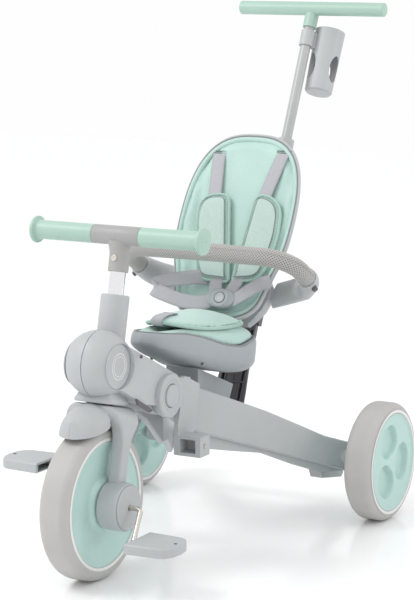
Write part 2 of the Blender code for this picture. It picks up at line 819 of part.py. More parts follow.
def make_arms():
    """Each arm is an outer cover and a deeper inner shell, meeting along the middle of its thickness."""
    chamfer = 0.003
    for label, sign in SIDES:
        outer = []
        inner = []
        for y, top, low, inner_low in arm_stations():
            face = arm_outer_x(y)
            middle = face - ARM_THICK / 2
            hidden = face - ARM_THICK
            trim = min(chamfer, (top - low) / 4)
            outer.append(
                [
                    Vector((sign * x, y, z))
                    for x, z in (
                        (middle + GAP / 2, low),
                        (face - chamfer, low),
                        (face, low + trim),
                        (face, top - trim),
                        (face - chamfer, top),
                        (middle + GAP / 2, top),
                    )
                ]
            )
            inner.append(
                [
                    Vector((sign * x, y, z))
                    for x, z in (
                        (middle - GAP / 2, inner_low),
                        (hidden + chamfer, inner_low),
                        (hidden, inner_low + trim),
                        (hidden, top - trim),
                        (hidden + chamfer, top),
                        (middle - GAP / 2, top),
                    )
                ]
            )
        cover = loft(f"arm_cover_{label}", outer, "grey_plastic", HUB)
        shell = loft(f"arm_shell_{label}", inner, "grey_plastic", HUB)
        boss_rings = []
        for far in (False, True):
            ring = []
            for i in range(24):
                turn = 2 * pi * i / 24
                y = REAR_AXLE.y + 0.0150 * cos(turn)
                z = REAR_AXLE.z + 0.0150 * sin(turn)
                x = 0.2120 if far else arm_outer_x(y) - 0.004
                ring.append(Vector((sign * x, y, z)))
            boss_rings.append(ring)
        boss = loft(f"arm_boss_{label}", boss_rings, "grey_plastic")
        join(cover, boss)
        pin = rod(
            f"arm_brake_pin_{label}",
            Vector((0.1150, BRAKE_PIVOT.y, BRAKE_PIVOT.z)),
            Vector((0.1545, BRAKE_PIVOT.y, BRAKE_PIVOT.z)),
            0.0040,
        )
        if sign > 0:
            join(shell, pin)
        else:
            helper_of(pin)
        for piece in (cover, shell):
            hub_hole = rod(f"{piece.name}_hub_hole", HUB, HUB + Vector((sign * 0.08, 0, 0)), BORE_RADIUS)
            axle_hole = rod(
                f"{piece.name}_axle_hole",
                REAR_AXLE + Vector((sign * 0.12, 0, 0)),
                REAR_AXLE + Vector((sign * 0.23, 0, 0)),
                BORE_RADIUS,
            )
            cut(piece, hub_hole, axle_hole)
    axle = rod(
        "rear_axle",
        REAR_AXLE - Vector((0.2630, 0, 0)),
        REAR_AXLE + Vector((0.2630, 0, 0)),
        AXLE_RADIUS,
        16,
        "steel",
        REAR_AXLE,
    )
    join(axle, make_beam())


def make_beam():
    """The crossbeam moulded round the axle between the arms, arched along its underside."""
    rings = []
    for step in range(9):
        x = BEAM_HALF * (step / 4 - 1)
        share = abs(x) / BEAM_HALF
        low = 0.0905 - 0.0040 * share - 0.0105 * share**4
        top = 0.1170
        front = 0.0110
        rings.append(
            [
                Vector((x, REAR_AXLE.y - front, low + 0.003)),
                Vector((x, REAR_AXLE.y - front + 0.003, low)),
                Vector((x, REAR_AXLE.y + front - 0.003, low)),
                Vector((x, REAR_AXLE.y + front, low + 0.003)),
                Vector((x, REAR_AXLE.y + front, top - 0.003)),
                Vector((x, REAR_AXLE.y + front - 0.003, top)),
                Vector((x, REAR_AXLE.y - front + 0.003, top)),
                Vector((x, REAR_AXLE.y - front, top - 0.003)),
            ]
        )
    return loft("rear_beam", rings, "grey_plastic", REAR_AXLE)


BRAKE_PIVOT = Vector((0.1305, 0.1850, 0.1000))


def make_brake():
    """Foot brake lever on the left arm's inner pin, with a tread that stands out behind."""
    def place(y, z, x):
        return Vector((x, y, z))

    py = BRAKE_PIVOT.y
    pz = BRAKE_PIVOT.z
    outline = [(py - 0.008, pz - 0.006), (py - 0.003, pz - 0.012), (py + 0.010, pz - 0.038)]
    outline += [(py + 0.085, pz - 0.052), (py + 0.093, pz - 0.046), (py + 0.091, pz - 0.040)]
    outline += [(py + 0.018, pz - 0.0255), (py + 0.0075, pz - 0.006), (py + 0.005, pz + 0.008)]
    outline += [(py - 0.004, pz + 0.009), (py - 0.009, pz + 0.003)]
    lever = slab("brake_pedal", outline, place, 0.1190, 0.1420, "grey_plastic", BRAKE_PIVOT)
    hole = rod(
        "brake_hole",
        Vector((0.10, py, pz)),
        Vector((0.17, py, pz)),
        0.0044,
    )
    cut(lever, hole)


# Saddle and seat


SADDLE_OUTLINE = (  # g, half width, height of the rim, height of the pad's crown
    (-0.1510, 0.0000, 0.0110, 0.0150),
    (-0.1430, 0.0200, 0.0120, 0.0180),
    (-0.1200, 0.0335, 0.0145, 0.0230),
    (-0.0800, 0.0425, 0.0185, 0.0285),
    (-0.0350, 0.0550, 0.0175, 0.0320),
    (0.0050, 0.0690, 0.0125, 0.0350),
    (0.0450, 0.0810, 0.0140, 0.0400),
    (0.0700, 0.0850, 0.0230, 0.0450),
    (0.1000, 0.0780, 0.0330, 0.0500),
    (0.1230, 0.0540, 0.0380, 0.0510),
    (0.1340, 0.0240, 0.0390, 0.0480),
    (0.1360, 0.0000, 0.0390, 0.0470),
)


def saddle_ring(scale, height):
    """The outline scaled about the saddle's middle, each point raised to height(rim, crown)."""
    side = smooth_through([Vector(row) for row in SADDLE_OUTLINE], 2)
    half = [(row[1], row[0], row[2], row[3]) for row in side]
    ring = half + [(-x, g, rim, crown) for x, g, rim, crown in reversed(half[1:-1])]
    return [saddle(x * scale, g * scale, height(rim, crown)) for x, g, rim, crown in ring]


def make_saddle():
    rows = [
        (0.300, lambda rim, crown: 0.0080),
        (0.955, lambda rim, crown: rim),
        (0.985, lambda rim, crown: rim - 0.0030),
        (1.000, lambda rim, crown: -0.0030),
        (0.975, lambda rim, crown: -0.0150),
        (0.880, lambda rim, crown: -0.0260),
        (0.700, lambda rim, crown: -0.0300),
    ]
    loft("saddle_shell", [saddle_ring(scale, height) for scale, height in rows], "grey_plastic")
    rows = [
        (0.300, lambda rim, crown: 0.0092),
        (0.948, lambda rim, crown: rim + 0.0006),
        (0.940, lambda rim, crown: rim + 0.30 * (crown - rim)),
        (0.880, lambda rim, crown: rim + 0.65 * (crown - rim)),
        (0.720, lambda rim, crown: rim + 0.90 * (crown - rim)),
        (0.400, lambda rim, crown: crown),
    ]
    loft("saddle_pad", [saddle_ring(scale, height) for scale, height in rows], "mint_fabric")


CROTCH_OUTLINE = (  # y, half width, height of the side edges, height of the arch
    (-0.1200, 0.0100, 0.3680, 0.0020),
    (-0.1080, 0.0260, 0.3640, 0.0050),
    (-0.0800, 0.0380, 0.3570, 0.0110),
    (-0.0450, 0.0450, 0.3500, 0.0170),
    (-0.0050, 0.0510, 0.3450, 0.0200),
    (0.0250, 0.0590, 0.3440, 0.0160),
    (0.0420, 0.0640, 0.3460, 0.0090),
    (0.0480, 0.0600, 0.3480, 0.0050),
)


def make_crotch_pad():
    """A leaf-shaped pad lying along the saddle, arched from side to side and widest behind."""
    rings = []
    for y, half, low, arch in CROTCH_OUTLINE:
        thick = min(0.0080, 0.0030 + half * 0.12)
        ring = []
        for k in range(9):
            angle = pi * k / 8
            crest = arch * (1 - cos(angle) ** 2)
            ring.append(Vector((half * cos(angle), y, low + crest + thick * sin(angle))))
        for k in range(1, 6):
            c = -cos(pi * k / 6)
            ring.append(Vector((half * 0.93 * c, y, low - 0.0006 + arch * (1 - c * c))))
        rings.append(ring)
    loft("crotch_pad", rings, "mint_fabric")


BACK_LOWER = (  # half width, s, from the widest line down
    (0.1100, 0.0600),
    (0.1085, 0.0280),
    (0.1030, -0.0060),
    (0.0925, -0.0413),
    (0.0850, -0.0720),
    (0.0780, -0.0905),
    (0.0640, -0.1050),
    (0.0430, -0.1145),
    (0.0210, -0.1180),
    (0.0000, -0.1190),
)


def back_ring(scale, d, upper=9):
    """The outline of the backrest, a rounded arch above and a blunt taper below, scaled about its widest line."""
    side = []
    for i in range(upper):
        angle = pi / 2 * (1 - i / upper)
        x = BACK_HALF * cos(angle) ** (2 / 2.7)
        side.append((x, BACK_WIDEST + BACK_TOP * sin(angle) ** (2 / 2.7)))
    side += BACK_LOWER
    ring = side + [(-x, s) for x, s in reversed(side[1:-1])]
    return [back(x * scale, BACK_WIDEST + (s - BACK_WIDEST) * scale, d) for x, s in ring]


def make_backrest():
    rows = [(0.700, 0.0300), (0.850, 0.0220), (0.945, 0.0060), (0.965, 0.0), (0.985, 0.0), (1.000, 0.0040)]
    rows += [(0.990, 0.0130), (0.900, 0.0300), (0.740, 0.0400)]
    loft("backrest_shell", [back_ring(s, d) for s, d in rows], "grey_plastic", RECLINE_PIVOT)
    rows = [(0.690, 0.0294), (0.840, 0.0214), (0.935, 0.0054), (0.945, 0.0010), (0.925, -0.0030)]
    rows += [(0.850, 0.0010), (0.700, 0.0050)]
    loft("backrest_pad", [back_ring(s, d) for s, d in rows], "mint_fabric", RECLINE_PIVOT)


CARRIER_LINE = (  # half width, s, near face, far face
    (0.0500, 0.0500, 0.0404, 0.0500),
    (0.0560, 0.0000, 0.0404, 0.0580),
    (0.0740, -0.0350, 0.0404, 0.0660),
    (0.0720, -0.0560, 0.0450, 0.0720),
    (0.0600, -0.0730, 0.0540, 0.0790),
    (0.0430, -0.0880, 0.0640, 0.0850),
    (0.0300, -0.0980, 0.0720, 0.0880),
)


def make_carrier():
    """Moulded bracket behind the backrest: beam for the safety bar's elbows and the lug that tilts on the post."""
    pivot_d = (RECLINE_PIVOT - BACK_ORIGIN).dot(BACK_DEEP)
    pivot_s = (RECLINE_PIVOT - BACK_ORIGIN).dot(BACK_UP)
    rings = []
    for half, s, near, far in CARRIER_LINE:
        rings.append([back(-half, s, near), back(half, s, near)])
        rings[-1] += [back(half * 0.94, s, far), back(-half * 0.94, s, far)]
    carrier = loft("seat_carrier", rings, "grey_plastic", RECLINE_PIVOT)
    outline = [(0.0480, 0.0100), (pivot_d, pivot_s + 0.0090), (pivot_d + 0.0080, pivot_s + 0.0040)]
    outline += [(pivot_d + 0.0080, pivot_s - 0.0060), (pivot_d, pivot_s - 0.0100), (0.0620, -0.0550)]
    lug = slab("seat_carrier_lug", outline, back_side, -0.0210, 0.0210, "grey_plastic")
    beam = rod(
        "seat_carrier_beam",
        back(-BEAM_END, BEAM_S, BEAM_D),
        back(BEAM_END, BEAM_S, BEAM_D),
        0.0120,
        20,
    )
    trunnion = rod(
        "seat_carrier_trunnion",
        RECLINE_PIVOT - Vector((0.0285, 0, 0)),
        RECLINE_PIVOT + Vector((0.0285, 0, 0)),
        0.0040,
    )
    join(carrier, lug, beam, trunnion)


PAD_LEFT = [(0.0235, -0.0490), (0.0640, -0.0440), (0.0775, -0.0340), (0.0863, -0.0080), (0.0904, 0.0378)]
PAD_LEFT += [(0.0870, 0.0755), (0.0800, 0.0920), (0.0653, 0.1045), (0.0437, 0.1100), (0.0320, 0.1020)]
PAD_RIGHT = [(-0.0215, -0.0510), (0.0270, -0.0490), (0.0375, -0.0400), (0.0464, -0.0114), (0.0620, 0.0490)]
PAD_RIGHT += [(0.0680, 0.0790), (0.0630, 0.0950), (0.0510, 0.1040), (0.0285, 0.1070), (0.0165, 0.0990)]


def make_harness():
    """Two shoulder pads that lean apart at the top, the oval buckle and its release button."""
    for label, sign in SIDES:

        def place(x, s, d, sign=sign):
            return back(sign * x, s, d)

        outline = PAD_LEFT if label == "left" else PAD_RIGHT
        pad = slab(f"shoulder_pad_{label}", outline, place, -0.0125, -0.0040, "mint_fabric", RECLINE_PIVOT)
        rounded(pad, 0.003, 1, 60)
    centre = back(0.018, -0.0830, -0.0160)

    def oval(radius_x, radius_s, d):
        ring = []
        for i in range(24):
            a = 2 * pi * i / 24
            across = Vector((radius_x * cos(a), 0, 0))
            ring.append(centre + across + radius_s * sin(a) * BACK_UP + d * BACK_DEEP)
        return ring

    rows = [(0.0260, 0.0160, 0.0060), (0.0280, 0.0175, 0.0)]
    rows += [(0.0260, 0.0160, -0.0060), (0.0140, 0.0110, -0.0070)]
    buckle = loft("buckle", [oval(*row) for row in rows], "grey_plastic", centre)
    hole = rod("buckle_hole", centre - 0.0020 * BACK_DEEP, centre - 0.0200 * BACK_DEEP, 0.0092, 20)
    cut(buckle, hole)
    turned(
        "buckle_button",
        [(0.0088, 0), (0.0088, 0.0025), (0.0070, 0.0034)],
        centre - 0.0050 * BACK_DEEP,
        -BACK_DEEP,
        20,
        "grey_plastic",
        centre - 0.0050 * BACK_DEEP,
    )


# Safety bar


ELBOW_LINE = (  # share of the way to the beam's end, x, t, half height, half width
    (0.0, 0.1590, 0.0753, 0.0180, 0.0175),
    (0.0, 0.1570, 0.0880, 0.0195, 0.0180),
    (0.0, 0.1520, 0.1010, 0.0210, 0.0180),
    (0.0, 0.1410, 0.1170, 0.0225, 0.0165),
    (0.0, 0.1230, 0.1290, 0.0230, 0.0150),
    (0.5, 0.1180, 0.1330, 0.0230, 0.0130),
    (1.0, 0.1180, 0.1330, 0.0230, 0.0120),
)
ELBOW_TURN = (0, 6, 20, 45, 68, 84, 90)  # how far each section has turned inwards


def make_safety_bar():
    """Padded U-bar with a spigot at each end, two elbow sockets and their release buttons."""
    half = [safety(SAFETY_HALF, SAFETY_END), safety(SAFETY_HALF, SAFETY_BEND + 0.004)]
    for angle in range(0, 91, 15):
        a = radians(angle)
        half.append(
            safety(SAFETY_HALF - SAFETY_BEND + SAFETY_BEND * cos(a), SAFETY_BEND - SAFETY_BEND * sin(a))
        )
    half.append(safety(0, -0.0020))
    mirrored = [Vector((-p.x, p.y, p.z)) for p in reversed(half[:-1])]
    bar = tube("safety_bar", half + mirrored, SAFETY_RADIUS, 12, "grey_foam", safety(0, 0))
    spigots = []
    for label, sign in SIDES:
        spigots.append(
            rod(
                f"safety_spigot_{label}",
                safety(sign * SAFETY_HALF, SAFETY_END - 0.010),
                safety(sign * SAFETY_HALF, 0.0970),
                SPIGOT_RADIUS,
            )
        )
    join(bar, *spigots)
    for label, sign in SIDES:
        rings = []
        for share, x, t, high, wide in ELBOW_LINE:
            straight = safety(sign * x, t)
            end = back(sign * (BEAM_END + GAP), BEAM_S, BEAM_D)
            centre = Vector((straight.x, straight.y, straight.z)).lerp(end, share)
            turn = radians(ELBOW_TURN[len(rings)])
            across = Vector((sign * cos(turn), 0, 0)) + sin(turn) * BAR_BACK
            rings.append(
                [
                    centre + wide * cos(2 * pi * k / 14) * across + high * sin(2 * pi * k / 14) * BAR_DOWN
                    for k in range(14)
                ]
            )
        elbow = loft(f"safety_elbow_{label}", rings, "grey_plastic", RECLINE_PIVOT)
        bore = rod(
            f"elbow_bore_{label}",
            safety(sign * SAFETY_HALF, SAFETY_END - 0.01),
            safety(sign * SAFETY_HALF, 0.0985),
            SPIGOT_RADIUS + 0.0004,
        )
        push = (Vector((sign, 0, 0)) + BAR_DOWN).normalized()
        seat = safety(sign * SAFETY_HALF, 0.0880)
        hole = rod(f"elbow_button_hole_{label}", seat + 0.0115 * push, seat + 0.03 * push, 0.0050)
        cut(elbow, bore, hole)
        turned(
            f"safety_button_{label}",
            [(0.0046, 0), (0.0046, 0.0066), (0.0036, 0.0076)],
            seat + 0.0140 * push,
            push,
            16,
            "dark_plastic",
            seat + 0.0140 * push,
        )


# Post and push handle


BRACKET_LINE = (  # height up the post, half width of the front
    (0.0000, 0.0310),
    (0.0300, 0.0300),
    (0.0700, 0.0265),
    (0.1200, 0.0240),
    (0.1890, 0.0240),
)


def make_post():
    """Ribbed bracket at the foot, flat in front and rounded behind, and the outer tube of the push handle."""
    rings = []
    for up, half in BRACKET_LINE:
        side = [(half, -0.0165), (half, -0.0135), (0.0205, 0.0), (0.0145, 0.0115), (0.0060, 0.0170)]
        ring = side + [(-x, deep) for x, deep in reversed(side)]
        rings.append([post(x, deep, up) for x, deep in ring])
    body = loft("post_bracket", rings, "dark_plastic")
    ears = []
    ear = [(-0.0150, 0.1500), (-0.0430, 0.1950), (-0.0430, 0.2140)]
    ear += [(-0.0200, 0.2140), (-0.0050, 0.1850), (-0.0050, 0.1500)]
    for label, sign in SIDES:
        ears.append(
            slab(
                f"post_ear_{label}",
                ear,
                lambda deep, up, x, sign=sign: post(sign * x, deep, up),
                0.0222,
                0.0290,
                "dark_plastic",
            )
        )
    join(body, *ears)
    cutters = [rod("post_bore", post(0, 0, 0.0120), post(0, 0, 0.25), POST_TUBE_RADIUS + 0.0004, 24)]
    columns = ((-0.0215, -0.0160, -0.0060), (-0.0140, -0.0010, -0.0143))
    columns += ((0.0010, 0.0140, -0.0143), (0.0160, 0.0215, -0.0060))
    rows = ((0.0040, 0.0460), (0.0490, 0.0910), (0.0940, 0.1400))
    for across, (x0, x1, floor) in enumerate(columns):
        for up, (low, high) in enumerate(rows):
            name = f"post_pocket_{across}_{up}"
            cutters.append(block(name, post, (x0, -0.03, low), (x1, floor, high)))
    cutters.append(
        rod(
            "post_ear_hole",
            RECLINE_PIVOT - Vector((0.05, 0, 0)),
            RECLINE_PIVOT + Vector((0.05, 0, 0)),
            0.0043,
        )
    )
    cut(body, *cutters)
    turned(
        "post_tube",
        [
            (0.0098, 0),
            (POST_TUBE_RADIUS, 0),
            (POST_TUBE_RADIUS, POST_TUBE_TOP - 0.0370),
            (0.0148, POST_TUBE_TOP - 0.0360),
            (0.0148, POST_TUBE_TOP - 0.0170),
            (0.0130, POST_TUBE_TOP - 0.0150),
            (0.0098, POST_TUBE_TOP - 0.0150),
        ],
        post(0, 0, 0.0150),
        POST_UP,
        24,
        "grey_paint",
        (0, 0, 0),
        True,
    )


def make_push_handle():
    """Telescoping pole and the T-grip that caps it."""
    rod("push_pole", post(0, 0, POLE_LOW), post(0, 0, 0.7250), POLE_RADIUS, 20, "grey_paint", post(0, 0, 0))
    end_radius = TEE_RADIUS - 0.0015
    shoulder = TEE_HALF - 0.0015
    grip = turned(
        "push_grip",
        [(end_radius, -TEE_HALF), (TEE_RADIUS, -shoulder), (TEE_RADIUS, shoulder), (end_radius, TEE_HALF)],
        TEE,
        (1, 0, 0),
        20,
        "mint_plastic",
        post(0, 0, 0),
        False,
        True,
    )
    socket = rod("push_socket", post(0, 0, SOCKET_LOW), post(0, 0, 0.7400), 0.0122, 20)
    bore = rod("push_bore", post(0, 0, SOCKET_LOW - 0.01), post(0, 0, 0.7254), POLE_RADIUS + 0.0004, 20)
    join(grip, socket)
    cut(grip, bore)


def make_cup_holder():
    """Tapered cup with three oval windows on a ring that turns about the pole."""
    wall = 0.0020
    offset = Vector((cos(CUP_TURN), 0, 0)) + sin(CUP_TURN) * POST_BACK
    axis_low = post(0, 0, CUP_LOW) + CUP_REACH * offset
    height = CUP_TOP - CUP_LOW
    cup = turned(
        "cup_holder",
        [
            (0.0001, 0),
            (CUP_LOW_RADIUS - 0.003, 0),
            (CUP_LOW_RADIUS, 0.0030),
            (CUP_TOP_RADIUS, height),
            (CUP_TOP_RADIUS - wall, height),
            (CUP_LOW_RADIUS - wall, 0.0040),
            (0.0001, 0.0026),
        ],
        axis_low,
        POST_UP,
        24,
        "warm_grey_plastic",
        post(0, 0, CUP_LOW),
    )
    clip = turned(
        "cup_clip",
        [(0.0098, 0), (0.0125, 0), (0.0125, 0.0280), (0.0098, 0.0280)],
        post(0, 0, CLIP_LOW),
        POST_UP,
        20,
        "warm_grey_plastic",
        (0, 0, 0),
        True,
    )

    def place(out, side, up):
        return post(0, 0, CLIP_LOW + up) + out * offset + side * offset.cross(POST_UP)

    arm_end = CUP_REACH - CUP_LOW_RADIUS + 0.0005
    arm = block("cup_arm", place, (0.0115, -0.0050, 0), (arm_end, 0.0050, 0.0280))
    join(cup, clip, arm)
    for k in range(3):
        turn = CUP_TURN + pi + k * 2 * pi / 3
        out = Vector((cos(turn), 0, 0)) + sin(turn) * POST_BACK
        side = out.cross(POST_UP).normalized()
        middle = axis_low + 0.045 * POST_UP
        rings = []
        for reach in (0.010, 0.032):
            ring = []
            for i in range(14):
                a = 2 * pi * i / 14
                ring.append(middle + reach * out + 0.0125 * cos(a) * side + 0.0250 * sin(a) * POST_UP)
            rings.append(ring)
        window = loft(f"cup_window_{k}", rings, "warm_grey_plastic")
        cut(cup, window)


def main():
    clear_scene()
    make_wheels()
    make_crank()
    make_pedals()
    make_fork()
    make_fender()
    make_steerer()
    make_handlebar()
    make_head_shells()
    make_head_tube()
    make_spine()
    make_footrest_sockets()
    make_arms()
    make_brake()
    make_saddle()
    make_crotch_pad()
    make_backrest()
    make_carrier()
    make_harness()
    make_safety_bar()
    make_post()
    make_push_handle()
    make_cup_holder()


main()
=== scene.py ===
"""Looks of the folding push tricycle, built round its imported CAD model.

New pieces are surfaces worked out as whole numpy arrays: turned profiles, lofts between outlines and ribbons
carried along a path. The remaining CAD nodes are copied, merged and given soft edges.
"""

import json
from math import cos, pi, radians, sin

import bmesh
import bpy
import numpy as np
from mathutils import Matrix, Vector

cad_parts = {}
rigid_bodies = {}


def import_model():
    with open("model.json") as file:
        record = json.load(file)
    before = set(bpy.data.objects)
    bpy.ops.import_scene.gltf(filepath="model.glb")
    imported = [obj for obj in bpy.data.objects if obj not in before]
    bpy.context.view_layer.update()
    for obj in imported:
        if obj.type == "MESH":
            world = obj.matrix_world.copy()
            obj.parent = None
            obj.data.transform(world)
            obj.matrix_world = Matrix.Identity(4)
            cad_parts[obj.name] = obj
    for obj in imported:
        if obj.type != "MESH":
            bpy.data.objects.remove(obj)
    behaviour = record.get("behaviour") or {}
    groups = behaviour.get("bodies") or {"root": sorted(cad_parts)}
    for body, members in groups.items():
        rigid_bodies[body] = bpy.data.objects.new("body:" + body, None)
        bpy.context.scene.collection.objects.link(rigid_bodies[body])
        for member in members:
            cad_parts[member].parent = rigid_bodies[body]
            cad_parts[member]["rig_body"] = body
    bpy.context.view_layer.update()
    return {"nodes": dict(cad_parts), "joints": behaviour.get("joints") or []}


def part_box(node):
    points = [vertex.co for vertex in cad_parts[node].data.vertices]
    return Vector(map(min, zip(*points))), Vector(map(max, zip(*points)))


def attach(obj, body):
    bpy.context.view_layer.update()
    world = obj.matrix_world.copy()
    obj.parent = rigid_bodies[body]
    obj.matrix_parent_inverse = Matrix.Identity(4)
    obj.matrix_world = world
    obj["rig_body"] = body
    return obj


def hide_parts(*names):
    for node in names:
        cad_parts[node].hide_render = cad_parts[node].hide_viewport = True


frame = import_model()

SIDES = (("left", 1), ("right", -1))
X = np.array((1.0, 0.0, 0.0))
Z = np.array((0.0, 0.0, 1.0))

JOINTS = {joint["name"]: joint for joint in frame["joints"]}


def middle_of(node):
    low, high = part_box(node)
    return np.array((low + high) / 2)


def size_of(node):
    low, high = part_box(node)
    return np.array(high - low)


# Steering column, seat back, saddle and safety bar each have their own directions
FRONT_WHEEL = np.array(JOINTS["front_wheel_spin"]["pos_m"])
STEER_UP = np.array(JOINTS["steering"]["axis"])
STEER_FRONT = np.cross(X, STEER_UP)
FOLD_HUB = np.array(JOINTS["rear_fold"]["pos_m"])
BACK_LEAN = radians(28)
BACK_UP = np.array((0.0, sin(BACK_LEAN), cos(BACK_LEAN)))
BACK_DEEP = np.array((0.0, cos(BACK_LEAN), -sin(BACK_LEAN)))
BACK_FOOT = np.array((0.0, 0.09395, 0.450))
SADDLE_LEAN = radians(15)
SADDLE_REAR = np.array((0.0, cos(SADDLE_LEAN), -sin(SADDLE_LEAN)))
SADDLE_UP = np.array((0.0, sin(SADDLE_LEAN), cos(SADDLE_LEAN)))
SADDLE_FOOT = np.array((0.0, -0.04705, 0.3129))
BAR_BACK = -np.array(JOINTS["safety_bar_pull"]["axis"])
BAR_DOWN = np.cross(BAR_BACK, X)
BAR_FOOT = np.array((0.0, 0.01195, 0.465))


def steer_at(x, front, up):
    """A point or array of points on the steering: x across, front ahead of its axis and up along it."""
    return FRONT_WHEEL + np.multiply.outer(x, X) + np.multiply.outer(front, STEER_FRONT) \
        + np.multiply.outer(up, STEER_UP)


def back_at(x, s, d):
    """A point or array of points on the seat back: x across, s up it and d into it."""
    return BACK_FOOT + np.multiply.outer(x, X) + np.multiply.outer(s, BACK_UP) + np.multiply.outer(d, BACK_DEEP)


def saddle_at(x, g, h):
    """A point or array of points on the saddle: x across, g rearwards and h up."""
    return SADDLE_FOOT + np.multiply.outer(x, X) + np.multiply.outer(g, SADDLE_REAR) \
        + np.multiply.outer(h, SADDLE_UP)


def bar_at(x, t, down=0.0):
    """A point or array of points on the safety bar: x across, t back along its slope and down below it."""
    along = np.multiply.outer(t, BAR_BACK) + np.multiply.outer(down, BAR_DOWN)
    return BAR_FOOT + np.multiply.outer(x, X) + along


# Materials


class Recipe:
    """A Principled material with short calls for its nodes."""

    def __init__(self, name, roughness, metallic=0.0, **constants):
        self.material = bpy.data.materials.new(name)
        self.material.use_nodes = True
        self.tree = self.material.node_tree
        self.shader = self.tree.nodes["Principled BSDF"]
        self.shader.inputs["Roughness"].default_value = roughness
        self.shader.inputs["Metallic"].default_value = metallic
        for socket, value in constants.items():
            self.shader.inputs[socket.replace("_", " ")].default_value = value
        self.places = self.tree.nodes.new("ShaderNodeTexCoord").outputs["Object"]
        self.last_normal = None

    def node(self, kind, inputs, output=0, **settings):
        made = self.tree.nodes.new(kind)
        for key, value in settings.items():
            setattr(made, key, value)
        for key, value in inputs.items():
            if isinstance(value, bpy.types.NodeSocket):
                self.tree.links.new(value, made.inputs[key])
            else:
                made.inputs[key].default_value = value
        return made.outputs[output]

    def uv(self):
        return self.node("ShaderNodeUVMap", {}, uv_map="UVMap")

    def spread(self, turn=(0, 0, 0), scale=(1, 1, 1), places=None):
        inputs = {"Vector": places or self.places, "Rotation": turn, "Scale": scale}
        return self.node("ShaderNodeMapping", inputs)

    def noise(self, scale, detail=2.0, places=None, roughness=0.5):
        inputs = {"Vector": places or self.places, "Scale": scale, "Detail": detail, "Roughness": roughness}
        return self.node("ShaderNodeTexNoise", inputs)

    def cells(self, scale, places=None):
        return self.node("ShaderNodeTexVoronoi", {"Vector": places or self.places, "Scale": scale})

    def waves(self, scale, direction, places=None, distortion=0.0):
        inputs = {"Vector": places or self.places, "Scale": scale, "Distortion": distortion, "Detail": 1.0}
        return self.node("ShaderNodeTexWave", inputs, bands_direction=direction)

    def maths(self, operation, a, b=0.0):
        return self.node("ShaderNodeMath", {0: a, 1: b}, operation=operation)

    def between(self, value, low, high, to_low=0.0, to_high=1.0):
        inputs = {"Value": value, "From Min": low, "From Max": high, "To Min": to_low, "To Max": to_high}
        return self.node("ShaderNodeMapRange", inputs)

    def blend(self, factor, a, b):
        made = self.tree.nodes.new("ShaderNodeMix")
        made.data_type = "RGBA"
        for socket, value in ((made.inputs[0], factor), (made.inputs[6], a), (made.inputs[7], b)):
            if isinstance(value, bpy.types.NodeSocket):
                self.tree.links.new(value, socket)
            elif socket == made.inputs[0]:
                socket.default_value = value
            else:
                socket.default_value = (*value, 1.0)
        return made.outputs[2]

    def colour(self, value):
        self.tree.links.new(value, self.shader.inputs["Base Color"])
        return self

    def roughness(self, value):
        self.tree.links.new(value, self.shader.inputs["Roughness"])
        return self

    def bump(self, height, depth, strength=1.0):
        """Relief of that depth in metres, laid over any relief that is there already."""
        inputs = {"Height": height, "Distance": depth, "Strength": strength}
        if self.last_normal is not None:
            inputs["Normal"] = self.last_normal
        self.last_normal = self.node("ShaderNodeBump", inputs)
        self.tree.links.new(self.last_normal, self.shader.inputs["Normal"])
        return self


def tinted(colour, factor):
    return tuple(min(channel * factor, 1.0) for channel in colour)


def moulded(name, colour, roughness, grain=0.00003, **constants):
    """Injection-moulded plastic: spark-eroded grain, slow drift of tone and faint handling marks."""
    recipe = Recipe(name, roughness, **constants)
    drift = recipe.noise(11.0, 3.0)
    recipe.colour(recipe.blend(recipe.between(drift, 0.35, 0.65), tinted(colour, 0.965), tinted(colour, 1.02)))
    marks = recipe.noise(140.0, 3.0, recipe.spread((0.3, 0.2, 0.5), (1, 0.15, 1)))
    recipe.roughness(recipe.between(marks, 0.3, 0.7, roughness - 0.04, roughness + 0.05))
    recipe.bump(recipe.noise(2600.0, 1.0), grain, 0.6)
    recipe.bump(recipe.noise(420.0, 2.0), grain * 1.5, 0.35)
    return recipe.material


def foamed_tyre():
    """Foamed tyre rubber: fine open pores, and rings left by the mould round the tread."""
    recipe = Recipe("foamed_tyre", 0.62, Specular_IOR_Level=0.35)
    pores = recipe.noise(1500.0, 2.0)
    drift = recipe.noise(16.0, 4.0)
    tone = recipe.blend(recipe.between(drift, 0.3, 0.7), (0.462, 0.452, 0.444), (0.505, 0.496, 0.488))
    recipe.colour(recipe.blend(recipe.between(pores, 0.55, 0.75, 0.0, 0.35), tone, (0.40, 0.39, 0.385)))
    recipe.roughness(recipe.between(drift, 0.3, 0.7, 0.56, 0.68))
    rings = recipe.waves(110.0, "X", distortion=0.6)
    recipe.bump(rings, 0.00005, 0.5)
    recipe.bump(pores, 0.00008, 0.7)
    return recipe.material


def knitted(name, colour, loop=0.0011, softness=0.45):
    """Soft knit over foam: two crossing rows of loops, with fluff and a slow drift of tone."""
    recipe = Recipe(name, 0.86, Sheen_Weight=softness, Sheen_Roughness=0.5, Specular_IOR_Level=0.25)
    scale = 0.05 / loop
    courses = recipe.waves(scale * 3.14, "DIAGONAL", recipe.spread())
    wales = recipe.waves(scale * 3.14, "DIAGONAL", recipe.spread((0.0, 0.0, pi / 2)))
    loops = recipe.maths("MULTIPLY", courses, wales)
    fluff = recipe.noise(900.0, 3.0)
    drift = recipe.noise(14.0, 3.0)
    tone = recipe.blend(recipe.between(drift, 0.3, 0.7), tinted(colour, 0.95), tinted(colour, 1.03))
    recipe.colour(recipe.blend(recipe.between(loops, 0.0, 0.5, 0.16, 0.0), tone, tinted(colour, 0.6)))
    recipe.roughness(recipe.between(fluff, 0.3, 0.7, 0.80, 0.92))
    recipe.bump(loops, 0.00022, 0.6)
    recipe.bump(fluff, 0.00012, 0.4)
    return recipe.material


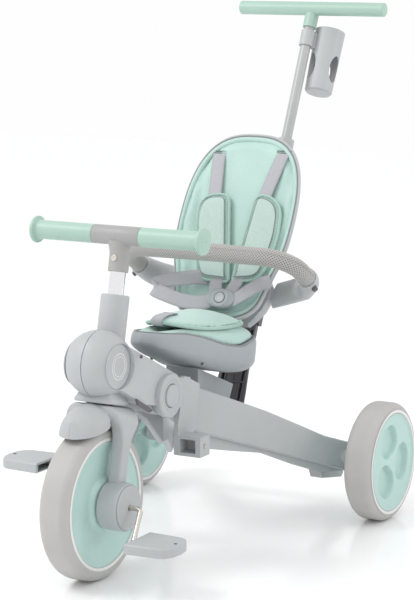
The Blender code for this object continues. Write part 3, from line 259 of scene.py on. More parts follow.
def spacer_mesh(name, colour):
    """Airy spacer mesh: a honeycomb of small round holes."""
    recipe = Recipe(name, 0.8, Sheen_Weight=0.3, Specular_IOR_Level=0.3)
    holes = recipe.cells(620.0)
    tone = recipe.between(holes, 0.12, 0.42)
    recipe.colour(recipe.blend(tone, tinted(colour, 0.74), colour))
    recipe.bump(tone, 0.00025, 0.7)
    return recipe.material


def webbing():
    """Woven strap: herringbone across the width, ribs along it and a denser selvedge at both edges."""
    recipe = Recipe("grey_webbing", 0.6, Sheen_Weight=0.25, Specular_IOR_Level=0.35)
    uv = recipe.uv()
    across = recipe.node("ShaderNodeSeparateXYZ", {"Vector": uv}, 0)
    along = recipe.node("ShaderNodeSeparateXYZ", {"Vector": uv}, 1)
    chevron = recipe.maths("ABSOLUTE", recipe.maths("SUBTRACT", recipe.maths("FRACT", recipe.maths(
        "MULTIPLY", across, 4.0)), 0.5))
    slant = recipe.maths("ADD", recipe.maths("MULTIPLY", chevron, 6.0), recipe.maths("MULTIPLY", along, 620.0))
    twill = recipe.maths("FRACT", slant)
    ridge = recipe.maths("MULTIPLY", recipe.maths("ABSOLUTE", recipe.maths("SUBTRACT", twill, 0.5)), 2.0)
    edge = recipe.maths("ABSOLUTE", recipe.maths("SUBTRACT", across, 0.5))
    selvedge = recipe.between(edge, 0.40, 0.44)
    tone = recipe.blend(ridge, (0.375, 0.380, 0.405), (0.510, 0.515, 0.545))
    recipe.colour(recipe.blend(recipe.maths("MULTIPLY", selvedge, 0.5), tone, (0.36, 0.345, 0.38)))
    recipe.bump(ridge, 0.00025, 0.6)
    recipe.bump(recipe.noise(1200.0, 2.0), 0.00008, 0.4)
    return recipe.material


def diamond_sleeve():
    """Braided sleeve: rows of raised threads crossing at a slant, darker in the diamond-shaped eyes."""
    recipe = Recipe("diamond_sleeve", 0.78, Sheen_Weight=0.3, Specular_IOR_Level=0.3)
    uv = recipe.uv()
    across = recipe.node("ShaderNodeSeparateXYZ", {"Vector": uv}, 0)
    along = recipe.node("ShaderNodeSeparateXYZ", {"Vector": uv}, 1)
    threads = []
    for sign in (1.0, -1.0):
        slant = recipe.maths("ADD", recipe.maths("MULTIPLY", along, 215.0), recipe.maths(
            "MULTIPLY", across, 18.0 * sign))
        wave = recipe.maths("ABSOLUTE", recipe.maths("SUBTRACT", recipe.maths("FRACT", slant), 0.5))
        threads.append(recipe.between(wave, 0.10, 0.34))
    eyes = recipe.maths("MULTIPLY", threads[0], threads[1])
    fluff = recipe.noise(1300.0, 2.0)
    tone = recipe.blend(recipe.between(fluff, 0.3, 0.7), (0.440, 0.432, 0.415), (0.505, 0.496, 0.478))
    recipe.colour(recipe.blend(eyes, tone, (0.150, 0.145, 0.138)))
    recipe.bump(recipe.maths("SUBTRACT", 1.0, eyes), 0.0005, 0.8)
    recipe.bump(fluff, 0.0001, 0.4)
    return recipe.material


def painted_tube():
    """Powder coat on drawn tube: satin, with a slight orange peel."""
    recipe = Recipe("powder_coat", 0.36, Coat_Weight=0.25, Coat_Roughness=0.25)
    peel = recipe.noise(520.0, 2.0)
    drift = recipe.noise(9.0, 2.0)
    recipe.colour(recipe.blend(recipe.between(drift, 0.3, 0.7), (0.405, 0.412, 0.408), (0.445, 0.452, 0.448)))
    recipe.roughness(recipe.between(peel, 0.3, 0.7, 0.32, 0.42))
    recipe.bump(peel, 0.00006, 0.4)
    return recipe.material


def polished(name, colour, roughness, brushing=0.2):
    """Plated or drawn steel with fine polishing lines round it."""
    recipe = Recipe(name, roughness, 1.0)
    lines = recipe.noise(700.0, 2.0, recipe.spread((0, 0, 0), (0.1, 1, 1)))
    recipe.colour(recipe.blend(recipe.between(lines, 0.3, 0.7), tinted(colour, 0.94), colour))
    recipe.roughness(recipe.between(lines, 0.3, 0.7, roughness * (1 - brushing), roughness * (1 + brushing)))
    recipe.bump(lines, 0.00001, 0.3)
    return recipe.material


GREY = (0.455, 0.475, 0.482)
WARM_GREY = (0.385, 0.385, 0.378)
MINT = (0.380, 0.545, 0.468)
MINT_DISC = (0.470, 0.655, 0.615)
MINT_CLOTH = (0.495, 0.685, 0.625)

FINISHES = {
    "grey_plastic": moulded("grey_plastic", GREY, 0.44),
    "base_plastic": moulded("cool_grey_plastic", (0.355, 0.382, 0.403), 0.46),
    "warm_grey_plastic": moulded("warm_grey_plastic", WARM_GREY, 0.48),
    "dark_plastic": moulded("dark_plastic", (0.130, 0.122, 0.130), 0.55, 0.00005),
    "mint_plastic": moulded("mint_plastic", MINT, 0.42),
    "mint_disc": moulded("mint_disc_plastic", MINT_DISC, 0.40),
    "stem_plastic": moulded("stem_grey_plastic", (0.360, 0.362, 0.358), 0.46),
    "white_plastic": moulded("white_rim", (0.78, 0.78, 0.775), 0.40),
    "mint_fabric": knitted("mint_knit", MINT_CLOTH),
    "mint_panel": spacer_mesh("mint_spacer_mesh", (0.480, 0.615, 0.570)),
    "mint_binding": knitted("mint_binding", (0.400, 0.585, 0.515), 0.0007),
    "piping": knitted("grey_piping", (0.25, 0.26, 0.26), 0.0007),
    "thread": knitted("grey_thread", (0.22, 0.25, 0.25), 0.0005),
    "webbing": webbing(),
    "grey_foam": diamond_sleeve(),
    "tyre": foamed_tyre(),
    "steel": polished("satin_nickel", (0.72, 0.68, 0.62), 0.30),
    "chrome": polished("chrome", (0.86, 0.86, 0.88), 0.09),
    "grey_paint": painted_tube(),
    # Near-black finish for the pedal holes and screw sockets: painted shade standing in for the dark inside of a
    # recess.
    "hole_shade": moulded("shadowed_hole", (0.05, 0.05, 0.055), 0.7),
}


# Surfaces


def placed(name, points, faces, finish, body, uv=None, smooth_angle=None):
    """A mesh object at the origin from whole arrays, with its finish, riding on its body."""
    mesh = bpy.data.meshes.new(name)
    mesh.from_pydata(np.asarray(points, float).tolist(), [], faces)
    if uv is not None:
        layer = mesh.uv_layers.new(name="UVMap")
        corners = np.empty(len(mesh.loops), np.int32)
        mesh.loops.foreach_get("vertex_index", corners)
        layer.data.foreach_set("uv", np.asarray(uv, np.float32)[corners].ravel())
    obj = bpy.data.objects.new(name, mesh)
    bpy.context.scene.collection.objects.link(obj)
    mesh.materials.append(FINISHES[finish])
    shape = bmesh.new()
    shape.from_mesh(mesh)
    bmesh.ops.remove_doubles(shape, verts=shape.verts, dist=0.000002)
    bmesh.ops.recalc_face_normals(shape, faces=shape.faces)
    shape.to_mesh(mesh)
    shape.free()
    mesh.shade_smooth()
    if smooth_angle is not None:
        mesh.set_sharp_from_angle(angle=radians(smooth_angle))
    if body is not None:
        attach(obj, body)
    return obj


def grid_faces(rows, columns, closed_rows=False, closed_columns=True):
    """Quads between neighbouring rows and columns of a grid of points."""
    i = np.arange(rows if closed_rows else rows - 1)
    j = np.arange(columns if closed_columns else columns - 1)
    i, j = np.meshgrid(i, j, indexing="ij")
    below = (i + 1) % rows
    beside = (j + 1) % columns
    return np.stack((i * columns + j, i * columns + beside, below * columns + beside, below * columns + j),
                    axis=-1).reshape(-1, 4)


def lofted(name, rings, finish, body, uv=None, ends=True, closed=False, smooth_angle=None):
    """A skin over rings of equal length, rings[row, column]; each end is closed by one flat face."""
    rings = np.asarray(rings, float)
    rows, columns = rings.shape[:2]
    faces = grid_faces(rows, columns, closed_rows=closed).tolist()
    if ends and not closed:
        faces.append(list(range(columns)))
        faces.append(list(range((rows - 1) * columns, rows * columns)))
    flat_uv = None if uv is None else np.asarray(uv, float).reshape(-1, 2)
    return placed(name, rings.reshape(-1, 3), faces, finish, body, flat_uv, smooth_angle)


def turned(name, profile, centre, axis, finish, body, steps=96, closed=False, smooth_angle=35):
    """A profile of (radius, height) rows turned about an axis: centre + height*axis + radius*(cos, sin)."""
    axis = unit(np.asarray(axis, float))
    first = unit(np.cross(axis, Z if abs(axis[2]) < 0.9 else X))
    second = np.cross(axis, first)
    turn = np.linspace(0, 2 * pi, steps, endpoint=False)
    ring = np.multiply.outer(np.cos(turn), first) + np.multiply.outer(np.sin(turn), second)
    profile = np.asarray(profile, float)
    points = np.asarray(centre) + profile[:, None, 1:2] * axis + profile[:, None, 0:1] * ring[None]
    return lofted(name, points, finish, body, closed=closed, smooth_angle=smooth_angle)


def softened(profile, share=0.35, passes=2):
    """The profile with each inner corner cut and cut again, so that it turns in a small arc."""
    points = np.asarray(profile, float)
    for _ in range(passes):
        first = points[:-1] * (1 - share / 2) + points[1:] * share / 2
        last = points[:-1] * share / 2 + points[1:] * (1 - share / 2)
        mixed = np.stack((first, last), axis=1).reshape(-1, points.shape[1])
        points = np.concatenate((points[:1], mixed[1:-1], points[-1:]))
    return points


def smooth_path(knots, steps=8):
    """Catmull-Rom curve through the knots: each stretch is the cubic that leaves along the neighbours' chord."""
    knots = np.asarray(knots, float)
    padded = np.concatenate((2 * knots[:1] - knots[1:2], knots, 2 * knots[-1:] - knots[-2:-1]))
    t = np.linspace(0, 1, steps, endpoint=False)[None, :, None]
    a, b, c, d = (padded[k:len(padded) - 3 + k, None, :] for k in range(4))
    curve = 0.5 * (2 * b + (c - a) * t + (2 * a - 5 * b + 4 * c - d) * t**2 + (3 * b - a - 3 * c + d) * t**3)
    return np.concatenate((curve.reshape(-1, knots.shape[1]), knots[-1:]))


def unit(vectors):
    return vectors / np.maximum(np.linalg.norm(vectors, axis=-1, keepdims=True), 1e-12)


def lengths_along(path):
    return np.concatenate(([0.0], np.cumsum(np.linalg.norm(np.diff(path, axis=0), axis=1))))


def piped(name, path, radius, finish, body, around=10, closed=False, normal=None, squash=1.0):
    """A round cord along a path: each section is the path's point plus radius*(cos*side + sin*rise)."""
    path = np.asarray(path, float)
    if closed:
        tangent = unit(np.roll(path, -1, axis=0) - np.roll(path, 1, axis=0))
    else:
        tangent = unit(np.gradient(path, axis=0))
    guide = np.asarray(normal if normal is not None else Z, float)
    side = unit(np.cross(tangent, guide))
    rise = np.cross(side, tangent)
    turn = np.linspace(0, 2 * pi, around, endpoint=False)
    rings = path[:, None] + radius * (
        np.cos(turn)[None, :, None] * side[:, None] + squash * np.sin(turn)[None, :, None] * rise[:, None])
    distance = lengths_along(path)
    uv = np.stack(np.broadcast_arrays(turn[None] / (2 * pi), distance[:, None]), axis=-1)
    return lofted(name, rings, finish, body, uv, closed=closed)


def ribbon(name, knots, across, width, body, thick=0.0014, steps=8):
    """A flat strap: its section is a slim bar with bevelled edges, carried along a smooth path.

    across gives the direction of the width at each knot, and the pattern runs along the length in metres."""
    path = smooth_path(knots, steps)
    tangent = unit(np.gradient(path, axis=0))
    wide = smooth_path(np.broadcast_to(np.asarray(across, float), np.shape(knots)), steps)
    wide = unit(wide - tangent * np.sum(wide * tangent, axis=1, keepdims=True))
    rise = np.cross(tangent, wide)
    shares = np.array((-1, -0.97, -0.5, 0, 0.5, 0.97, 1, 0.97, 0.5, 0, -0.5, -0.97))
    lifts = np.array((0, 0.7, 1, 1, 1, 0.7, 0, -0.7, -1, -1, -1, -0.7))
    rings = path[:, None] + width / 2 * shares[None, :, None] * wide[:, None] \
        + thick / 2 * lifts[None, :, None] * rise[:, None]
    distance = lengths_along(path)
    uv = np.stack(np.broadcast_arrays((shares[None] + 1) / 2, distance[:, None]), axis=-1)
    return lofted(name, rings, "webbing", body, uv, smooth_angle=60)


def stitches(name, path, body, length=0.0032, gap=0.0016, radius=0.00038, normal=Z):
    """A row of sewn stitches: short slim grains laid end to end along a path, each sunk at its two ends."""
    path = np.asarray(path, float)
    distance = lengths_along(path)
    starts = np.arange(0, distance[-1] - length, length + gap)
    shares = np.array((0.0, 0.2, 0.5, 0.8, 1.0))
    along = starts[:, None] + shares[None] * length
    points = np.stack([np.interp(along, distance, path[:, k]) for k in range(3)], axis=-1)
    normal = unit(np.asarray(normal, float))
    girth = np.array((0.25, 0.9, 1.0, 0.9, 0.25)) * radius
    tangent = unit(points[:, -1] - points[:, 0])[:, None]
    side = unit(np.cross(tangent, normal))
    turn = np.linspace(0, 2 * pi, 5, endpoint=False)
    rings = points[:, :, None] + girth[None, :, None, None] * (
        np.cos(turn)[None, None, :, None] * side[:, :, None] + np.sin(turn)[None, None, :, None] * normal)
    one = grid_faces(5, 5)
    faces = (one[None] + (np.arange(len(starts)) * 25)[:, None, None]).reshape(-1, 4).tolist()
    for k in range(len(starts)):
        faces.append([k * 25 + n for n in (4, 3, 2, 1, 0)])
        faces.append([k * 25 + 20 + n for n in range(5)])
    return placed(name, rings.reshape(-1, 3), faces, "thread", body)


def refined(node, finish, edge=0.0008, angle=34):
    """A copy of a CAD node with its points merged, flat faces joined and its sharp edges rounded."""
    source = frame["nodes"][node]
    mesh = source.data.copy()
    shape = bmesh.new()
    shape.from_mesh(mesh)
    bmesh.ops.remove_doubles(shape, verts=shape.verts, dist=0.00001)
    bmesh.ops.dissolve_limit(shape, angle_limit=radians(0.6), verts=shape.verts, edges=shape.edges)
    shape.to_mesh(mesh)
    shape.free()
    obj = bpy.data.objects.new(f"{node}_surface", mesh)
    bpy.context.scene.collection.objects.link(obj)
    mesh.materials.clear()
    mesh.materials.append(FINISHES[finish])
    mesh.shade_smooth()
    mesh.set_sharp_from_angle(angle=radians(angle))
    if edge:
        bevel = obj.modifiers.new("soft_edges", "BEVEL")
        bevel.width = edge
        bevel.segments = 2
        bevel.limit_method = "ANGLE"
        bevel.angle_limit = radians(angle)
        bevel.harden_normals = True
        bevel.use_clamp_overlap = True
    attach(obj, source["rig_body"])
    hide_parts(node)
    return obj


# Padding


CLOTH_PRESSURE = 3.0


def plump(obj, voxel, pressure, cap, frames=20):
    """Inflates a closed form by cloth simulation: remeshed, blown up and held within cap of where it was."""
    remesh = obj.modifiers.new("even_mesh", "REMESH")
    remesh.mode = "VOXEL"
    remesh.voxel_size = voxel
    bpy.context.view_layer.update()
    graph = bpy.context.evaluated_depsgraph_get()
    even = bpy.data.meshes.new_from_object(obj.evaluated_get(graph))
    obj.modifiers.clear()
    obj.data = even
    start = np.empty(len(even.vertices) * 3)
    even.vertices.foreach_get("co", start)
    start = start.reshape(-1, 3)
    cloth = obj.modifiers.new("cloth", "CLOTH")
    cloth.settings.use_pressure = True
    cloth.settings.uniform_pressure_force = pressure
    cloth.settings.effector_weights.gravity = 0
    cloth.settings.tension_stiffness = 20
    cloth.settings.compression_stiffness = 20
    cloth.settings.quality = 5
    cloth.point_cache.frame_start = 1
    cloth.point_cache.frame_end = frames
    scene = bpy.context.scene
    for number in range(1, frames + 1):
        scene.frame_set(number)
    graph = bpy.context.evaluated_depsgraph_get()
    blown = bpy.data.meshes.new_from_object(obj.evaluated_get(graph))
    obj.modifiers.clear()
    end = np.empty(len(blown.vertices) * 3)
    blown.vertices.foreach_get("co", end)
    move = end.reshape(-1, 3) - start
    reach = np.linalg.norm(move, axis=1, keepdims=True)
    held = start + move * np.minimum(1.0, cap / np.maximum(reach, 1e-9))
    blown.vertices.foreach_set("co", held.ravel())
    obj.data = blown
    scene.frame_set(1)


def evened(mesh, passes):
    """Laplacian smoothing: each point moves halfway to the mean of its neighbours, passes times."""
    count = len(mesh.vertices)
    points = np.empty(count * 3)
    mesh.vertices.foreach_get("co", points)
    points = points.reshape(-1, 3)
    edges = np.empty(len(mesh.edges) * 2, np.int32)
    mesh.edges.foreach_get("vertices", edges)
    first, last = edges.reshape(-1, 2).T
    degree = np.maximum(np.bincount(first, minlength=count) + np.bincount(last, minlength=count), 1)[:, None]
    for _ in range(passes):
        total = np.zeros_like(points)
        np.add.at(total, first, points[last])
        np.add.at(total, last, points[first])
        points = 0.5 * points + 0.5 * total / degree
    mesh.vertices.foreach_set("co", points.ravel())


def reshaped(obj, rule):
    """Moves every point of a mesh by a rule on the whole array of points."""
    points = np.empty(len(obj.data.vertices) * 3)
    obj.data.vertices.foreach_get("co", points)
    moved = rule(points.reshape(-1, 3))
    obj.data.vertices.foreach_set("co", np.asarray(moved).ravel())
    obj.data.update()


def subdivided(obj):
    finer = obj.modifiers.new("finer", "SUBSURF")
    finer.levels = finer.render_levels = 1
    obj.data.shade_smooth()


def cushion(obj, body, node, voxel, cap, smoothing, rule=None):
    """Turns a loft into a foam pad standing for a node: blown up, evened, reshaped by a rule, subdivided."""
    plump(obj, voxel, CLOTH_PRESSURE, cap)
    evened(obj.data, smoothing)
    if rule is not None:
        reshaped(obj, rule)
    subdivided(obj)
    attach(obj, body)
    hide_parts(node)


# Wheels


def arc_rows(radius, height, bend, start, end, count=7):
    """Rows of a profile on a quarter bend: (radius + bend*sin, height + bend*cos) between two angles."""
    turn = np.radians(np.linspace(start, end, count))
    return np.stack((radius + bend * np.sin(turn), height + bend * np.cos(turn)), axis=1)


def both_sides(side):
    """A profile and its reflection in the wheel's middle plane, as one closed loop."""
    side = np.asarray(side, float)
    return np.concatenate((side, side[::-1] * (1, -1)))


def lobed_face(radius, floor_height, rise, lobe_depth):
    """Heights of a wheel face on a polar grid: a slight dome less three rounded pockets.

    Each pocket is a bent capsule: the distance to an arc of 9 degrees each way at half the radius."""
    rows = np.linspace(0.0, 1.0, 64)[1:]
    turn = np.linspace(0, 2 * pi, 180, endpoint=False)
    share, angle = np.meshgrid(rows, turn, indexing="ij")
    height = floor_height + rise * (1 - share**2)
    for centre in (110, -10, -130):
        away = (angle - radians(centre) + pi) % (2 * pi) - pi
        beyond = np.maximum(np.abs(away) - radians(9), 0)
        distance = np.hypot(share * np.cos(beyond) - 0.50, share * np.sin(beyond)) - 0.335
        step = np.clip(-distance / 0.055, 0, 1)
        height = height - lobe_depth * step * step * (3 - 2 * step)
    return share * radius, angle, height


def make_rear_disc(label):
    """Wheel body with a pocketed face on both sides, meeting in the seat under the tyre."""
    node = f"rear_{label}_wheel_disc"
    half = size_of(f"rear_{label}_tyre")[0] / 2
    seat = size_of(node)[2] / 2
    lip = seat + 0.0058
    radius, angle, height = lobed_face(lip - 0.0090, half - 0.0034, 0.0010, 0.0100)
    around = angle[0]
    edge = np.array(((lip - 0.0072, half - 0.0016), (lip - 0.0052, half - 0.0008),
                     (seat - 0.0005, half - 0.0010), (seat - 0.0003, half - 0.0046)))
    radius = np.concatenate((radius, np.broadcast_to(edge[:, 0:1], (len(edge), len(around)))))
    height = np.concatenate((height, np.broadcast_to(edge[:, 1:2], (len(edge), len(around)))))
    outer = np.stack((height, radius * np.cos(around), radius * np.sin(around)), axis=-1)
    whole = np.concatenate((outer, outer[::-1] * (-1, 1, 1))) + middle_of(node)
    disc = lofted(f"{node}_surface", whole, "mint_disc", f"rear_wheel_{label}", smooth_angle=50)
    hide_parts(node)


def make_tyre(node, disc_node, body):
    """Foamed tyre: flat tread, shoulders turned on a wide bend and a seat round the wheel body."""
    centre = middle_of(node)
    radius = size_of(node)[2] / 2
    half = size_of(node)[0] / 2
    lip = size_of(disc_node)[2] / 2 + 0.0079
    seat = lip - 0.0070
    bend = 0.0135
    side = [(seat, half - 0.0046), (seat, half - 0.0010), (lip - 0.0012, half - 0.0006),
            (lip + 0.0010, half - 0.0002)]
    side = np.concatenate((side, arc_rows(radius - bend, half - bend - 0.0002, bend, 4, 90, 12)))
    crown = np.array(((radius, half - bend - 0.006),))
    tyre = turned(f"{node}_surface", both_sides(np.concatenate((side, crown))), centre, X, "tyre", body, 160,
                  closed=True, smooth_angle=50)
    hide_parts(node)
    for label, sign in SIDES:
        ring = [(lip - 0.0062, half - 0.0030), (lip - 0.0060, half - 0.0006), (lip - 0.0048, half + 0.0001),
                (lip - 0.0020, half + 0.0001), (lip - 0.0010, half - 0.0006), (lip - 0.0010, half - 0.0030)]
        name = f"{node}_rim_ring_{label}"
        turned(name, softened(ring, 0.4, 1), centre, sign * X, "white_plastic", body, 144, closed=True)


def make_front_disc():
    """Dished wheel body: a hub boss, a smooth trough round the drum and a lip that holds the tyre."""
    node = "front_wheel_disc"
    centre = middle_of(node)
    half = size_of("front_tyre")[0] / 2
    seat = size_of(node)[2] / 2
    lip = seat + 0.0079
    face = [(0.0046, half + 0.0018), (0.0360, half + 0.0018), (0.0420, half - 0.0055), (0.0480, half - 0.0066),
            (lip - 0.0230, half - 0.0062), (lip - 0.0110, half - 0.0030), (lip - 0.0068, half - 0.0014)]
    side = np.concatenate((softened(face, 0.5, 3), ((seat - 0.0003, half - 0.0014), (seat - 0.0003, half - 0.0046))))
    disc = turned("front_wheel_disc_surface", both_sides(side), centre, X, "mint_disc", "front_wheel", 144,
                  closed=True, smooth_angle=50)
    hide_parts(node)


def make_wheels():
    make_tyre("front_tyre", "front_wheel_disc", "front_wheel")
    make_front_disc()
    for label, sign in SIDES:
        make_tyre(f"rear_{label}_tyre", f"rear_{label}_wheel_disc", f"rear_wheel_{label}")
        make_rear_disc(label)


# Handlebar and push handle


BAR_MIDDLE = steer_at(0, 0.0100, 0.4132)


def make_grips():
    """Straight grip with a flange and a slightly domed end."""
    for label, sign in SIDES:
        body = [(0.0117, 0.0422), (0.0146, 0.0422), (0.0150, 0.0428), (0.0150, 0.1390), (0.0153, 0.1435),
                (0.0190, 0.1455), (0.0211, 0.1466), (0.0214, 0.1485), (0.0211, 0.1508), (0.0195, 0.1524),
                (0.0140, 0.1534), (0.0128, 0.1533), (0.0122, 0.1538), (0.0060, 0.1543), (0.0004, 0.1545)]
        inner = [(0.0004, 0.1420), (0.0117, 0.1416)]
        grip = turned(f"grip_{label}_surface", softened(body + inner, 0.3, 2)[:-1], BAR_MIDDLE, sign * X, "mint_plastic",
                      "handlebars", 72, closed=True)
        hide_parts(f"grip_{label}")


def make_safety_sleeve():
    """Padded sleeve over the U-shaped bar: straight ends, two bends of 50 mm and a nearly straight front."""
    reach, bend, end = 0.160, 0.050, 0.0750
    turn = np.radians(np.linspace(0, 90, 17))
    corner = np.stack((reach - bend + bend * np.cos(turn), bend - bend * np.sin(turn)), axis=1)
    straight = np.stack((np.full(5, reach), np.linspace(end, bend + 0.004, 5)), axis=1)
    across = np.linspace(reach - bend - 0.006, 0, 26)
    front = np.stack((across, -0.0020 * np.cos(across / (reach - bend) * pi / 2)), axis=1)
    half = np.concatenate((straight, corner, front))
    line = np.concatenate((half, half[-2::-1] * (-1, 1)))
    path = bar_at(line[:, 0], line[:, 1])
    sleeve = piped("safety_bar_sleeve", path, 0.0150, "grey_foam", "safety_bar", 40, normal=BAR_DOWN)
    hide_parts("safety_bar")
    for label, sign in SIDES:
        cuff = [(0.0080, -0.0060), (0.0152, -0.0060), (0.0152, 0.0006), (0.0144, 0.0016), (0.0080, 0.0016)]
        at = bar_at(sign * reach, end)
        turned(f"sleeve_cuff_{label}", softened(cuff, 0.3, 1), at - 0.0016 * BAR_BACK, BAR_BACK, "warm_grey_plastic",
               "safety_bar", 48, closed=True)
        spigot = [(0.0004, -0.005), (0.0080, -0.005), (0.0080, 0.0205), (0.0070, 0.0215), (0.0004, 0.0215)]
        turned(f"safety_spigot_{label}", spigot, at, BAR_BACK, "steel", "safety_bar", 40)


def make_handlebar():
    """Straight bar of one radius and the neck that carries it, blended by a swelling under the bar."""
    rows = [(0.0004, -0.1410), (0.0112, -0.1410), (0.0112, -0.0424), (0.0146, -0.0418), (0.0150, -0.0410),
            (0.0150, 0.0410), (0.0146, 0.0418), (0.0112, 0.0424), (0.0112, 0.1410), (0.0004, 0.1410)]
    tube = turned("handlebar_surface", rows, BAR_MIDDLE, X, "stem_plastic", "handlebars", 72)
    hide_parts("handlebar")
    neck = [(0.0130, 0.3640), (0.0130, 0.3576), (0.0150, 0.3570), (0.0159, 0.3576), (0.0160, 0.3590),
            (0.0160, 0.3850), (0.0166, 0.3930), (0.0180, 0.4000), (0.0184, 0.4040), (0.0120, 0.4060),
            (0.0004, 0.4060)]
    lean = 0.0055
    clamp = turned("stem_clamp_surface", softened(neck, 0.3, 1), steer_at(0, 0, 0), STEER_UP,
                   "warm_grey_plastic", "handlebars", 72, closed=True)
    reshaped(clamp, lambda points: points + np.multiply.outer(
        lean * np.clip(((points - FRONT_WHEEL) @ STEER_UP - 0.385) / 0.02, 0, 1), STEER_FRONT))
    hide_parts("stem_clamp")


FORK_STATIONS = (  # height above the wheel's centre, rear edge, front edge
    (0.1260, -0.0280, 0.0260), (0.1180, -0.0225, 0.0190), (0.1080, -0.0160, 0.0150), (0.0980, -0.0120, 0.0130),
    (0.0800, -0.0100, 0.0120), (0.0500, -0.0100, 0.0120), (0.0200, -0.0100, 0.0120))


def make_fork(label, sign):
    """Half of the fork: a flat crown that bends down into a narrower leg, and the drum beside the wheel.

    The bend's inner and outer faces are arcs about one centre; sections are rounded rectangles across them."""
    centre_x, centre_up, inner, outer = 0.0257, 0.1260, 0.0030, 0.0254
    middle, half = (inner + outer) / 2, (outer - inner) / 2
    crown = (-0.0340, 0.0366)
    stations = [(x, centre_up + middle, pi / 2, *crown) for x in (0.0003, 0.0100, 0.0200)]
    for turn in np.linspace(0, 1, 9)[:-1]:
        angle = pi / 2 * (1 - turn)
        share = turn * turn * (3 - 2 * turn)
        rear = crown[0] + (FORK_STATIONS[0][1] - crown[0]) * share
        front = crown[1] + (FORK_STATIONS[0][2] - crown[1]) * share
        stations.append((centre_x + middle * cos(angle), centre_up + middle * sin(angle), angle, rear, front))
    stations += [(centre_x + middle, up, 0.0, rear, front) for up, rear, front in FORK_STATIONS]
    rings = []
    for x, up, angle, rear, front in stations:
        corner = 0.0045
        section = []
        for k, (side_n, side_f) in enumerate(((1, 1), (-1, 1), (-1, -1), (1, -1))):
            swing = np.radians(90 * k + np.linspace(0, 90, 6))
            n = side_n * (half - corner) + corner * np.cos(swing)
            f = (front - corner if side_f > 0 else rear + corner) + corner * np.sin(swing)
            section.append(np.stack((n, f), axis=1))
        n, f = np.concatenate(section).T
        rings.append(steer_at(sign * (x + n * cos(angle)), f, up + n * sin(angle)))
    leg = lofted(f"fork_leg_{label}", rings, "grey_plastic", "steering", smooth_angle=50)
    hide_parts(f"fork_{label}")
    drum = [(0.0066, 0.0288), (0.0362, 0.0288), (0.0374, 0.0300), (0.0375, 0.0620), (0.0371, 0.0632),
            (0.0362, 0.0635), (0.0066, 0.0635)]
    turned(f"hub_drum_{label}", softened(drum, 0.2, 1), FRONT_WHEEL, sign * X, "grey_plastic", "steering", 96,
           closed=True)


def make_fender():
    """Beak over the tyre: half-round sections, width falling as the root of 1 - v^2.5 while the top drops."""
    v = np.concatenate((np.linspace(0, 0.8, 14), 1 - np.linspace(0.42, 0, 14) ** 2))[:, None]
    turn = np.linspace(0, pi, 41)[None]
    half = 0.0375 * np.sqrt(np.maximum(1 - v ** 2.5, 0))
    top = 0.152 - 0.0312 * v ** 1.5
    rim = 0.1186 - 0.0228 * v ** 0.8
    shells = []
    for wall, reach in ((0.0, 0.0546), (0.0024, 0.0518)):
        x = np.maximum(half - wall, 0.0002) * np.cos(turn)
        up = rim + (top - rim - wall) * np.sin(turn) ** 0.85
        shells.append(steer_at(x, np.broadcast_to(0.0352 + reach * v, x.shape), up))
    rings = np.concatenate((shells[0], shells[1][:, ::-1]), axis=1)
    fender = lofted("front_fender_surface", rings, "grey_plastic", "steering", smooth_angle=50)
    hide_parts("front_fender")


# Seat back

BACK_LOWER = ((0.1100, 0.0600), (0.1085, 0.0280), (0.1030, -0.0060), (0.0925, -0.0413), (0.0850, -0.0720),
              (0.0780, -0.0905), (0.0640, -0.1050), (0.0430, -0.1145), (0.0210, -0.1180), (0.0000, -0.1190))
BACK_WIDEST = 0.060


def back_outline(upper=36):
    """Half-width and height of the backrest's edge: a superellipse of power 2.7 above, a blunt taper below."""
    turn = np.linspace(pi / 2, 0, upper, endpoint=False)
    power = 2 / 2.7
    arch = np.stack((0.110 * np.cos(turn) ** power, BACK_WIDEST + 0.163 * np.sin(turn) ** power), axis=1)
    arch[0, 0] = 0.0
    side = np.concatenate((arch, smooth_path(BACK_LOWER, 5)))
    return np.concatenate((side, side[-2:0:-1] * (-1, 1)))


def back_rings(rows, outline=None):
    """The outline scaled about its widest line, one ring for each (scale, depth)."""
    outline = back_outline() if outline is None else outline
    rows = np.asarray(rows, float)
    x = rows[:, 0:1] * outline[None, :, 0]
    s = BACK_WIDEST + rows[:, 0:1] * (outline[None, :, 1] - BACK_WIDEST)
    return back_at(x, s, np.broadcast_to(rows[:, 1:2], x.shape))


def make_back_shell():
    rows = [(0.020, 0.0300), (0.700, 0.0300), (0.850, 0.0220), (0.950, 0.0075), (0.966, 0.0020), (0.972, -0.0002),
            (0.986, -0.0004), (0.998, 0.0022), (0.998, 0.0046), (0.975, 0.0110), (0.890, 0.0280), (0.820, 0.0365),
            (0.740, 0.0396), (0.600, 0.0398), (0.585, 0.0385), (0.560, 0.0378), (0.020, 0.0378)]
    shell = lofted("backrest_shell_surface", back_rings(softened(rows, 0.35, 1)), "grey_plastic", "seat_back",
                   smooth_angle=50)
    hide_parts("backrest_shell")


def bolster(points):
    """Sewn shape of the back pad: a soft channel down each side between the middle and the raised bolsters."""
    local = points - BACK_FOOT
    x, s, d = local @ X, local @ BACK_UP, local @ BACK_DEEP
    front = np.clip((0.016 - d) / 0.010, 0, 1)
    line = 0.066 + 0.016 * np.clip(s / 0.12, -1, 1)
    dip = np.exp(-(((np.abs(x) - line) / 0.0075) ** 2)) * np.clip((0.20 - s) / 0.03, 0, 1) \
        * np.clip((s + 0.105) / 0.03, 0, 1)
    return points + np.multiply.outer(0.0030 * dip * front, BACK_DEEP)


